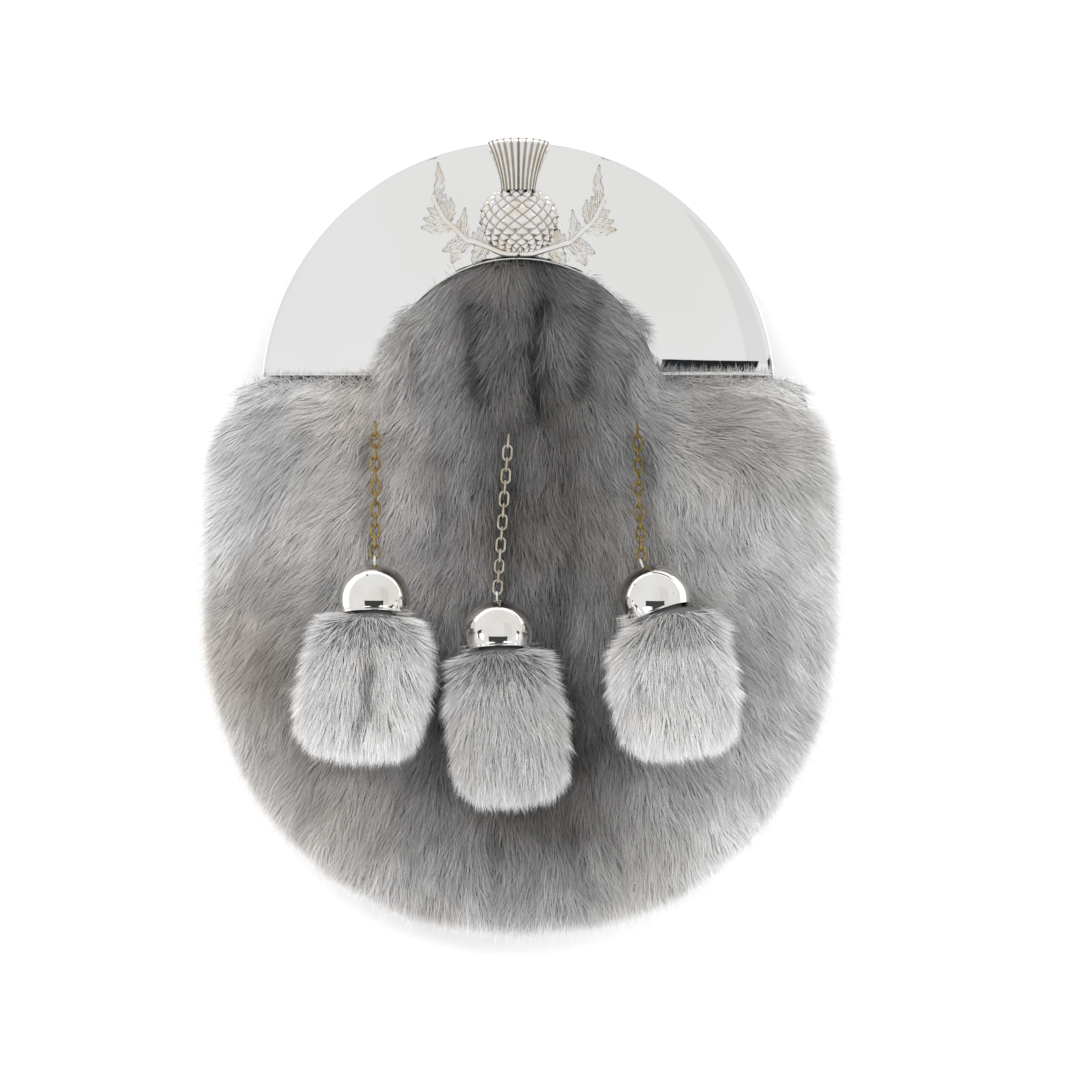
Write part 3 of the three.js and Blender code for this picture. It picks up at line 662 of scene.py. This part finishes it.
def cantle():
    """Closed section (radius, height) swept from foot to foot, with the metal rolled down at each foot."""
    face = np.linspace(ARCH_IN + 0.9, ARCH_OUT - 0.9, 40)
    lip = [[ARCH_IN, PLATE_Z - 2.4], [ARCH_IN, PLATE_Z - 0.5], [ARCH_IN + 0.15, PLATE_Z + 0.35],
           [ARCH_IN + 0.5, PLATE_Z + 0.55], [ARCH_IN + 0.8, PLATE_Z + 0.42]]
    edge = [[ARCH_OUT - 0.8, PLATE_Z + 0.42], [ARCH_OUT - 0.45, PLATE_Z + 0.5], [ARCH_OUT - 0.12, PLATE_Z + 0.2],
            [ARCH_OUT, PLATE_Z - 0.5], [ARCH_OUT, PLATE_Z - RIM], [ARCH_OUT - PLATE, PLATE_Z - RIM],
            [ARCH_OUT - PLATE, PLATE_Z - 1.4]]
    back = face[::-1][::3]
    section = np.concatenate([lip, np.stack([face, plate_top(face)], -1), edge,
                              np.stack([back, plate_top(back) - PLATE], -1), [[ARCH_IN + PLATE, PLATE_Z - 2.4]]])
    r, z = section[:, 0], section[:, 1]
    start = np.arcsin((FOOT_Y - ARCH_Y) / r)
    u = np.linspace(0, 1, 241)
    u = 0.5 - 0.5 * np.cos(np.pi * u) * (1 - 0.25 * np.sin(np.pi * u) ** 2)
    angle = start[None] + (np.pi - 2 * start[None]) * u[:, None]
    x, y = ARCH_X + r * np.cos(angle), ARCH_Y + r * np.sin(angle)
    roll = 0.9 * np.exp(-(((y - FOOT_Y) / 1.3) ** 1.0)) + 1.0 * step(34, 48, x) * np.exp(-((y - FOOT_Y) / 3.2) ** 2)
    points = np.stack([x, y, z - roll], -1)
    quads = grid_faces(len(u), len(section), False, True)
    top = [i for i in range(len(lip) + len(face) + 4)]
    low = [len(section) - 1 - min(int(i * (len(back) + 3) / (len(lip) + len(face) + 4)), len(back) + 2) for i in top]
    caps = []
    for row, turn in ((0, 1), (len(u) - 1, -1)):
        for a, b, c, d in zip(top[:-1], top[1:], low[1:], low[:-1]):
            caps.append([row * len(section) + k for k in ((a, b, c, d) if turn > 0 else (d, c, b, a))])
    return points.reshape(-1, 3), np.concatenate([outward(points, quads), caps])


def bead(x, y, z, radius):
    return tube(np.stack([x, y, z], -1), radius, 8)


points, quads = cantle()
feet = []
for side in (-1, 1):
    r = np.linspace(ARCH_IN + 0.3, ARCH_OUT - 0.5, 40)
    x = ARCH_X + side * np.sqrt(r**2 - (FOOT_Y - ARCH_Y) ** 2)
    feet.append(bead(x, FOOT_Y + 0.25 + 0 * x, plate_top(r) - 1.05, 0.45))
points, quads = join([(points, quads)] + feet)
plate = make_mesh("cantle_plate", points, quads, replaces=("cantle",))
plate.data.materials.append(plate_silver)
print("cantle", len(quads))

# %% [markdown]
# ## The thistle
# A casting: a fluted plume, a bulb covered in pointed scales, and a branch of jagged leaves either side.

# %% Thistle
LOBES = [
    dict(x0=-26.9, y0=106.0, x1=-26.0, y1=117.8, half=1.35, bend=-0.9),
    dict(x0=-22.0, y0=98.0, x1=-31.4, y1=97.3, half=1.8, bend=0.3),
    dict(x0=-23.4, y0=99.4, x1=-30.6, y1=100.2, half=1.7, bend=0.6),
    dict(x0=-25.0, y0=101.6, x1=-29.4, y1=103.4, half=1.2, bend=0.2),
    dict(x0=-23.2, y0=99.6, x1=-23.6, y1=107.9, half=1.3, bend=0.4),
    dict(x0=-22.6, y0=99.4, x1=-22.0, y1=106.8, half=1.3, bend=-0.4),
    dict(x0=-26.0, y0=103.4, x1=-26.0, y1=110.0, half=1.5, bend=-0.4),
    dict(x0=-17.2, y0=93.2, x1=-17.5, y1=103.7, half=1.35, bend=0.6),
    dict(x0=-18.6, y0=94.6, x1=-19.6, y1=99.6, half=1.4, bend=0.3),
    dict(x0=-16.8, y0=93.8, x1=-24.5, y1=89.8, half=1.9, bend=0.3),
    dict(x0=-16.6, y0=93.6, x1=-21.6, y1=86.0, half=2.0, bend=-0.5),
    dict(x0=-17.8, y0=93.0, x1=-23.2, y1=92.0, half=1.4, bend=0.2),
    dict(x0=-11.0, y0=92.4, x1=-15.2, y1=86.0, half=1.6, bend=-0.3),
    dict(x0=-10.6, y0=92.2, x1=-13.6, y1=86.6, half=1.4, bend=0.4),
    dict(x0=-11.4, y0=91.6, x1=-13.4, y1=97.4, half=1.4, bend=0.3),
    dict(x0=-13.0, y0=92.0, x1=-15.0, y1=96.0, half=1.1, bend=0.2),
]
STEM = [(-0.6, 89.2), (-5.6, 89.4), (-10.2, 91.2), (-14, 92.6), (-17.0, 93.4), (-20.6, 96.9), (-23.7, 99.6),
        (-26.2, 104.0), (-27.6, 107.8)]


def spline(points, count):
    """A smooth line through the given points (Catmull and Rom's weights)."""
    p = np.asarray(points, float)
    p = np.concatenate([[2 * p[0] - p[1]], p, [2 * p[-1] - p[-2]]])
    t = np.linspace(0, len(points) - 1 - 1e-6, count)
    i, f = np.floor(t).astype(int), (t % 1)[:, None]
    a, b, c, d = p[i], p[i + 1], p[i + 2], p[i + 3]
    return 0.5 * (2 * b + (c - a) * f + (2 * a - 5 * b + 4 * c - d) * f**2 + (3 * b - a - 3 * c + d) * f**3)


def lobe(x0, y0, x1, y1, half, bend):
    """A leaf's lobe: widest low down, drawn to a point, with a raised vein and edges that curl up."""
    t = np.linspace(0, 1, 15)[:, None]
    s = np.linspace(-1, 1, 13)[None]
    root, tip = np.array([x0, y0]), np.array([x1, y1])
    ahead = (tip - root) / np.linalg.norm(tip - root)
    aside = np.array([-ahead[1], ahead[0]])
    width = 1.45 * half * np.clip((0.55 + 1.6 * t) * (1 - t) ** 0.9 + 0.04, 0.03, None) * (1 + 0.16 * np.sin(t * 21))
    x = root[0] + (tip[0] - root[0]) * t + aside[0] * (s * width + bend * np.sin(np.pi * t))
    y = root[1] + (tip[1] - root[1]) * t + aside[1] * (s * width + bend * np.sin(np.pi * t))
    z = BADGE_Z + 1.2 + 1.0 * np.exp(-((s / 0.16) ** 2)) + 0.75 * s**2 - 0.5 * t + 0.08 * np.sin(s * 9 + t * 16)
    under = np.full_like(z, BADGE_Z + 0.1)
    top = np.stack([x + 0 * z, y + 0 * z, z], -1)
    low = np.stack([x + 0 * z, y + 0 * z, under], -1)
    ring = np.concatenate([top, low[:, ::-1]], 1)
    quads = grid_faces(len(t), ring.shape[1], False, True)
    n, last = ring.shape[1], (len(t) - 1) * ring.shape[1]
    caps = [[k, k + 1, n - 2 - k, n - 1 - k] for k in range(12)]
    ends = caps + [[last + k for k in cap[::-1]] for cap in caps]
    quads = outward(ring, quads)
    return ring.reshape(-1, 3), np.concatenate([quads, ends])


def plume():
    """A fan of flutes: closed rings up the fan, each a scalloped arch with a flat back."""
    up = np.linspace(0, 1, 26)[:, None]
    s = np.linspace(-1, 1, 91)[None]
    half = 5.3 + (9.7 - 5.3) * up**1.5
    y = 108.8 + 15.0 * up + up * 1.5 * (1 - s**2) - 0.25 * step(0.8, 1, up) * np.abs(np.sin(s * 6 * np.pi))
    x = -0.8 + half * np.sin(s * 1.35) / np.sin(1.35)
    high = 6.4 - 1.2 * up - 1.6 * step(0.93, 1.0, up)
    flute = np.abs(np.sin(s * 5.5 * np.pi)) ** 0.6
    z = BADGE_Z + high * (0.42 + 0.58 * np.sqrt(np.clip(1 - 0.85 * s**2, 0, 1))) * (0.72 + 0.28 * flute)
    top = np.stack([x + 0 * z, y + 0 * z, z], -1)
    low = np.stack([x + 0 * z, y + 0 * z, 0 * z + BADGE_Z], -1)[:, ::-1]
    ring = np.concatenate([top, low], 1)
    grooves.append(np.concatenate([(1 - flute) ** 1.5 + 0 * z, 0 * z], 1).ravel())
    n, last = ring.shape[1], 25 * ring.shape[1]
    caps = [[k, k + 1, n - 2 - k, n - 1 - k] for k in range(90)]
    ends = caps + [[last + k for k in cap[::-1]] for cap in caps]
    return ring.reshape(-1, 3), np.concatenate([outward(ring, grid_faces(26, n, False, True)), ends])


def bulb():
    """Half a ball, longer than wide, covered in diamond scales that rise to a point and step over the next."""
    lat = np.linspace(-np.pi / 2, np.pi / 2, 120)[:, None]
    lon = np.linspace(0, np.pi, 140)[None]
    a = lon * 15 / np.pi * 1.0
    b = lat * 11 / np.pi + 0.25
    u, v = (a + b * 1.6) / 2, (b * 1.6 - a) / 2
    fu, fv = np.abs(u % 1 - 0.5) * 2, np.abs(v % 1 - 0.5) * 2
    scale = np.minimum(1 - fu, 1 - fv)
    dark = np.clip(1 - scale * 4.5, 0, 1)
    rise = 0.9 * scale**0.85 + 0.16 * ((u + v) % 1)
    size = 1 + (rise - 0.5) * 0.13
    x = -0.7 + 11.9 * np.cos(lat) * np.cos(lon) * size
    y = 99.8 + 10.9 * np.sin(lat) * size + 0 * lon
    z = BADGE_Z + 8.8 * np.cos(lat) * np.sin(lon) * size
    grid = np.stack([x, y, z], -1)
    flat = grid[:, ::-1].copy()
    flat[..., 2] = BADGE_Z
    flat = flat[:, 1:-1:6]
    ring = np.concatenate([grid, flat], 1)
    grooves.append(np.concatenate([dark, np.zeros(flat.shape[:2])], 1).ravel())
    return ring.reshape(-1, 3), outward(ring, grid_faces(120, ring.shape[1], False, True))


grooves = []
parts = [plume(), bulb()]
for side in (-1, 1):
    for piece in LOBES:
        made, faces = lobe(**piece)
        if side > 0:
            made[:, 0] = -1.5 - made[:, 0]
            made[:, 1] -= 0.7 * step(4, 12, made[:, 0])
            faces = faces[:, ::-1]
        parts.append((made, faces))
    way = spline(STEM, 60)
    if side > 0:
        way[:, 0] = -1.5 - way[:, 0]
        way[:, 1] -= 0.7 * step(4, 12, way[:, 0])
    thick = np.linspace(1.15, 0.75, 60)
    pts, quads = tube(np.column_stack([way, np.full(60, BADGE_Z + 1.5)]), thick, 10)
    parts.append((pts, outward(pts, quads)))
    post = np.column_stack([np.full(5, ARCH_X + side * 6.0), np.full(5, 100.0), np.linspace(BADGE_Z - 5, BADGE_Z + 1, 5)])
    pts, quads = tube(post + [[0, 1e-4, 0]], 1.5, 12)
    parts.append((pts, outward(pts, quads)))
points, quads = join(parts)
badge = make_mesh("thistle_casting", points, quads, replaces=("thistle_badge",))
groove = np.zeros(len(points))
groove[: sum(map(len, grooves))] = np.concatenate(grooves)
badge.data.attributes.new("groove", "FLOAT", "POINT").data.foreach_set("value", groove)
badge.data.materials.append(cast_silver)
print("thistle", len(quads))

# %% [markdown]
# ## Leather
# The gusset is a smooth wall with a rounded seam at its foot. The back and its loops are plain, so the
# CAD's own pieces stay and take the leather.


# %% Leather pieces
def back_z(y):
    return 6.6 * np.clip((y + 2) / 20, 0, 1)


angle = np.linspace(0, 2 * np.pi, 360, endpoint=False)
wall = wall_radius(angle)
foot = back_z(HEART + wall * np.sin(angle)) + 2.3
section = [(0, 0), (0.35, 1.2), (0.1, 2.4), (0, 6), (0, 31.7), (2, 31.7), (2, 0)]
rings = [np.stack([(wall - inset if inset >= 1 else wall - 0.35 + inset) * np.cos(angle),
                   HEART + (wall - inset if inset >= 1 else wall - 0.35 + inset) * np.sin(angle),
                   np.minimum(foot + rise, 34.0)], -1) for inset, rise in section]
points = np.concatenate(rings)
gusset = make_mesh("gusset_wall", points, outward(points, grid_faces(7, 360, True, True)),
                   replaces=("gusset",))
gusset.data.materials.append(black_leather)
for name in ("back_panel", "belt_loop_left", "belt_loop_right"):
    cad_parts[name].data.materials.clear()
    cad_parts[name].data.materials.append(black_leather)
print("leather done")

# %% [markdown]
# ## Balls, chains and tassels
# Each pendant hangs from a row of links. The ball is spun silver with a ring soldered on its top, and the
# tassel is a pad of fur that comes out of its mouth.


# %% Ball caps
def basis(pendant):
    """The pendant's own axes: to its side, away from its mouth, and up."""
    lean = math.radians(pendant["lean"])
    mouth = np.array([math.sin(lean) * math.cos(DIP), -math.cos(lean) * math.cos(DIP), math.sin(DIP)])
    side = unit(np.cross(-mouth, [0, 0, 1.0]))
    return np.stack([side, -mouth, np.cross(side, -mouth)])


def ball_centre(pendant):
    z = fur_top(np.array([pendant["x"]]), np.array([pendant["y"]]))[0][0]
    return np.array([pendant["x"], pendant["y"], z + 11 + 0.8])


def ball(pendant):
    """A hollow ball cut off below its middle, its rim rolled, and the ring on top."""
    stop = np.pi / 2 + math.asin(4.5 / 11)
    out = np.linspace(0.002, stop, 44)
    back = np.linspace(np.pi / 2 + math.asin(4.5 / 10), 0.002, 20)
    radius = np.concatenate([11 * np.sin(out), [10.15, 9.75], 10 * np.sin(back)])
    height = np.concatenate([11 * np.cos(out), [-4.85, -4.85], 10 * np.cos(back)])
    turn = np.linspace(0, 2 * np.pi, 72, endpoint=False)
    grid = np.stack([radius[:, None] * np.cos(turn), height[:, None] + 0 * turn, radius[:, None] * np.sin(turn)], -1)
    shell = (grid.reshape(-1, 3), outward(grid, grid_faces(len(radius), 72, False, True)))
    a = np.linspace(0, 2 * np.pi, 28, endpoint=False)
    ring = np.stack([0 * a, 12.15 + 1.5 * np.cos(a), 1.5 * np.sin(a)], -1)
    pts, quads = tube(ring, 0.4, 10, closed=True)
    points, quads = join([shell, (pts, outward(pts, quads))])
    return points @ basis(pendant) + ball_centre(pendant), quads


for pendant in PENDANTS:
    points, quads = ball(pendant)
    ob = make_mesh("cap_" + pendant["name"], points, quads, replaces=("ball_" + pendant["name"],))
    ob.data.materials.append(ball_silver)
print("balls done")


# %% Chains
def link():
    """One link: a round wire bent to a long loop."""
    bend = LINK_WIDE / 2 - LINK_WIRE / 2
    straight = LINK_LONG / 2 - LINK_WIRE / 2 - bend
    a = np.linspace(0, np.pi, 11)
    path = np.concatenate([
        np.stack([bend * np.cos(a), straight + bend * np.sin(a)], -1),
        np.stack([-bend * np.cos(a), -straight - bend * np.sin(a)], -1)])
    ahead = unit(np.roll(path, -1, 0) - np.roll(path, 1, 0))
    out = np.stack([ahead[:, 1], -ahead[:, 0]], -1)
    turn = np.linspace(0, 2 * np.pi, 9, endpoint=False)
    ring = out[:, None] * np.cos(turn)[None, :, None] * LINK_WIRE / 2
    z = np.broadcast_to(np.sin(turn) * LINK_WIRE / 2, (len(path), 9))
    grid = np.concatenate([path[:, None] + ring, z[..., None]], -1)
    return grid.reshape(-1, 3), outward(grid, grid_faces(len(path), 9, True, True))


def chain(pendant):
    """Each link takes its place and turn from the CAD link's own box and the run of the chain."""
    names = [f"chain_{pendant['name']}_{k + 1:02d}" for k in range(pendant["links"])]
    boxes = [np.array(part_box(n)) / MM for n in names]
    middles = np.array([b.mean(0) for b in boxes])
    made = []
    for k, middle in enumerate(middles):
        ahead = unit(middles[min(k + 1, len(names) - 1)] - middles[max(k - 1, 0)])
        side = unit(np.cross(ahead, [0, 0, 1.0]))
        up = np.cross(side, ahead)
        axes = np.stack([side, ahead, up]) if k % 2 == 0 else np.stack([up, ahead, -side])
        pts, quads = link()
        made.append((pts @ axes + middle, quads))
    return names, join(made)


for pendant in PENDANTS:
    names, (points, quads) = chain(pendant)
    nickel = pendant["name"] == "middle"
    ob = make_mesh("links_" + pendant["name"], points, quads, replaces=names)
    ob.data.materials.append(worn_nickel if nickel else antique_brass)
print("chains done")

# %% Tassels
TASSEL_TONES = {"left": 180.0, "middle": 162.0, "right": 178.0}


def tassel(pendant, count, seed):
    """Fur over the tassel's form: undercoat a little inside it, coloured as the painted shade between the hairs, and
    hairs combed from the ball to the end.
    """
    draw = np.random.default_rng(seed)
    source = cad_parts["tassel_" + pendant["name"]].data
    co = np.empty(len(source.vertices) * 3)
    source.vertices.foreach_get("co", co)
    co = co.reshape(-1, 3) / MM
    tri = np.array([p.vertices[:] for p in source.polygons])
    rounded, inverse = np.unique(np.round(co, 3), axis=0, return_inverse=True)
    inverse = inverse.reshape(-1)
    tri = inverse[tri]
    co = rounded
    face_n = np.cross(co[tri[:, 1]] - co[tri[:, 0]], co[tri[:, 2]] - co[tri[:, 0]])
    point_n = np.zeros_like(co)
    for k in range(3):
        np.add.at(point_n, tri[:, k], face_n)
    point_n = unit(point_n)
    centre = ball_centre(pendant)
    start = centre + 5.0 * -basis(pendant)[1]
    low = co[np.argmin(co[:, 1])]
    axis = unit(low - start)
    size = np.linalg.norm(low - start)
    inset = 3.4 * step(0.03, 0.2, (co - start) @ axis / size)
    name = pendant["name"]
    under = make_mesh("tassel_core_" + name, co - point_n * inset[:, None], tri, replaces=("tassel_" + name,))
    tone0 = TASSEL_TONES[name]
    colour = np.ones((len(co), 4))
    # Painted shade: the core takes half the tassel's tone, so the gaps between the hairs are dark.
    colour[:, :3] = hair_colour(np.full(len(co), tone0 * 0.5), np.zeros(len(co)), 1.0)
    under.data.attributes.new("hair_colour", "FLOAT_COLOR", "POINT").data.foreach_set("color", colour.ravel())
    under.data.materials.append(tassel_fur)
    area = np.linalg.norm(face_n, axis=1)
    mid = co[tri].mean(1)
    area = area * np.where((mid - start) @ axis < -1.0, 0.0, 1.0) * np.where(mid[:, 2] < mid[:, 2].mean() - 4, 0.55, 1.0)
    pick = draw.choice(len(tri), count, p=area / area.sum())
    a, b = draw.uniform(0, 1, (2, count))
    a, b = np.where(a + b > 1, 1 - a, a), np.where(a + b > 1, 1 - b, b)
    blend = lambda v: v[tri[pick, 0]] * (1 - a - b)[:, None] + v[tri[pick, 1]] * a[:, None] + v[tri[pick, 2]] * b[:, None]
    place, normal = blend(co), unit(blend(point_n))
    run = (place - start) @ axis / size
    off = place - (start + axis * ((place - start) @ axis)[:, None])
    tuft = noise(place[:, 0], place[:, 1], 4.0, seed + 5) + 0.6 * noise(place[:, 0], place[:, 1], 2.0, seed + 6)
    crease = np.exp(-((((off[:, 0] + 4) - 2.0 * np.sin(run * 5)) / 2.2) ** 2)) * step(0.12, 0.3, run) * step(0.95, 0.7, run) * (name == "left")
    turn = 0.5 * noise(place[:, 0], place[:, 1], 7.0, seed + 8)
    along = axis + off * 0.02 + np.stack([turn * 0.6, 0 * turn, 0 * turn], -1) + draw.normal(0, 0.16, (count, 3))
    along = unit(along - normal * np.einsum("ij,ij->i", along, normal)[:, None])
    rise = np.radians(draw.uniform(16, 36, count) + 7 * tuft)
    length = draw.uniform(7.0, 10.5, count) * (0.75 + 0.25 * step(0.02, 0.2, run))
    depth = (3.6 * step(0.0, 0.16, run) + 0.5) + 1.6 * crease
    roots = place - normal * depth[:, None]
    tips = roots + (along * np.cos(rise)[:, None] + normal * np.sin(rise)[:, None]) * length[:, None]
    # Painted shade: hairs in the left tassel's crease are darker by up to 46 tone steps, and hairs near the ball's
    # mouth by up to 8.
    tone = tone0 + 8 * tuft + draw.normal(0, 8, count) - 46 * crease + 12 * step(0.5, 1.0, run) - 8 * step(0.3, 0.0, run)
    warm = np.clip(0.15 + 0.2 * noise(place[:, 0], place[:, 1], 14, seed + 9), 0, 1)
    hairs("tassel_hair_" + name, roots, tips, draw.uniform(0.09, 0.16, count), hair_colour(tone * 0.84, warm, 1.4),
          hair_colour(tone * 1.05 + 6, warm, 1.55), tassel_fur)


for k, pendant in enumerate(PENDANTS):
    tassel(pendant, int(14000 * MANY), 60 + 20 * k)
print("tassels done")

# %% [markdown]
# ## Stage, light and camera
# A white table under soft light from all round. Glowing cards that only shiny things see paint reflections: a dark bar
# and stem and two bright patches just over each ball, and a dim dark card by the cantle's right foot; a grey card high
# to the right stands for the studio.


# %% Stage
def card(name, centre, size, turn, strength, colour="#000000"):
    """A flat card that only reflections see."""
    w, h = size[0] / 2, size[1] / 2
    me = bpy.data.meshes.new(name)
    me.from_pydata([(-w, -h, 0), (w, -h, 0), (w, h, 0), (-w, h, 0)], [], [(0, 1, 2, 3)])
    ob = bpy.data.objects.new(name, me)
    bpy.context.scene.collection.objects.link(ob)
    ob.location, ob.rotation_euler = centre, turn
    mat = bpy.data.materials.new(name)
    mat.use_nodes = True
    tree = mat.node_tree
    glow = node(tree, "ShaderNodeEmission", Color=light(colour), Strength=strength)
    tree.links.new(glow.outputs[0], tree.nodes["Material Output"].inputs["Surface"])
    me.materials.append(mat)
    ob.visible_camera = ob.visible_diffuse = ob.visible_shadow = False
    ob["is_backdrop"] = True
    return ob


me = bpy.data.meshes.new("table")
me.from_pydata([(-4, -4, -0.0002), (4, -4, -0.0002), (4, 4, -0.0002), (-4, 4, -0.0002)], [], [(0, 1, 2, 3)])
floor = bpy.data.objects.new("table", me)
bpy.context.scene.collection.objects.link(floor)
white, _, shader = material("white_table", Roughness=0.9)
shader.inputs["Base Color"].default_value = (0.93, 0.93, 0.93, 1)
shader.inputs["Specular IOR Level"].default_value = 0.1
me.materials.append(white)
floor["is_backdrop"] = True

# Painted reflections: glowing cards 25 mm over each ball put a dark bar and stem and two bright patches into its
# reflection; they carry the backdrop flag.
for pendant in PENDANTS:
    x, y, z = ball_centre(pendant) * MM
    name = pendant["name"]
    card("dark_bar_" + name, (x, y - 0.0046, z + 0.025), (0.023, 0.0066), (0, 0, 0), 0.06, "#ffffff")
    card("dark_stem_" + name, (x + 0.001, y - 0.0116, z + 0.024), (0.008, 0.011), (0, 0, 0), 0.06, "#ffffff")
    card("bright_left_" + name, (x - 0.0105, y - 0.0135, z + 0.025), (0.013, 0.009), (0, 0, 0.3), 1.6, "#ffffff")
    card("bright_right_" + name, (x + 0.0125, y - 0.0125, z + 0.025), (0.013, 0.009), (0, 0, -0.25), 1.6, "#ffffff")

# Painted reflection: a dim dark card just over the cantle's right foot darkens the metal's reflection there.
card("foot_shade", (0.060, 0.033, 0.063), (0.046, 0.036), (0, 0, 0), 0.35, "#404448")
card("studio_grey", (0.8, 0.35, 1.2), (0.8, 1.5), (0, 0, 0), 0.78, "#ffffff")

world = bpy.data.worlds.new("studio")
bpy.context.scene.world = world
world.use_nodes = True
world.node_tree.nodes["Background"].inputs["Color"].default_value = (0.86, 0.86, 0.86, 1)
world.node_tree.nodes["Background"].inputs["Strength"].default_value = 1.0


def lamp(name, place, aim, size, power):
    """A soft square lamp that points at a place."""
    data = bpy.data.lights.new(name, "AREA")
    data.shape, data.size, data.energy = "SQUARE", size, power
    ob = bpy.data.objects.new(name, data)
    bpy.context.scene.collection.objects.link(ob)
    ob.location = place
    from mathutils import Vector

    ob.rotation_euler = (Vector(aim) - Vector(place)).to_track_quat("-Z", "Y").to_euler()
    ob.visible_glossy = False
    return ob


lamp("lamp_left", (-0.9, 0.7, 1.2), (0, 0, 0), 0.7, 9.0)
lamp("lamp_right", (1.0, 0.2, 1.3), (0, 0, 0), 0.9, 8.0)
lamp("lamp_over", (0.0, 0.1, 2.0), (0, 0, 0), 2.2, 25.0)

view = bpy.context.scene.view_settings
view.view_transform = "Standard"
view.look = "None"

lens = bpy.data.cameras.new("camera")
lens.sensor_width = 36.0
lens.lens = 36.0 * 1.6 / 0.337
camera = bpy.data.objects.new("camera", lens)
bpy.context.scene.collection.objects.link(camera)
camera.location = (0.0059, -0.0003, 1.645)
camera.rotation_euler = (0, 0, 0)
bpy.context.scene.camera = camera

total = 0
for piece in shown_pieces():
    count = sum(len(p.vertices) - 2 for p in piece.data.polygons) if len(piece.data.polygons) < 60000 else 0
    total += count if count else len(piece.data.polygons)
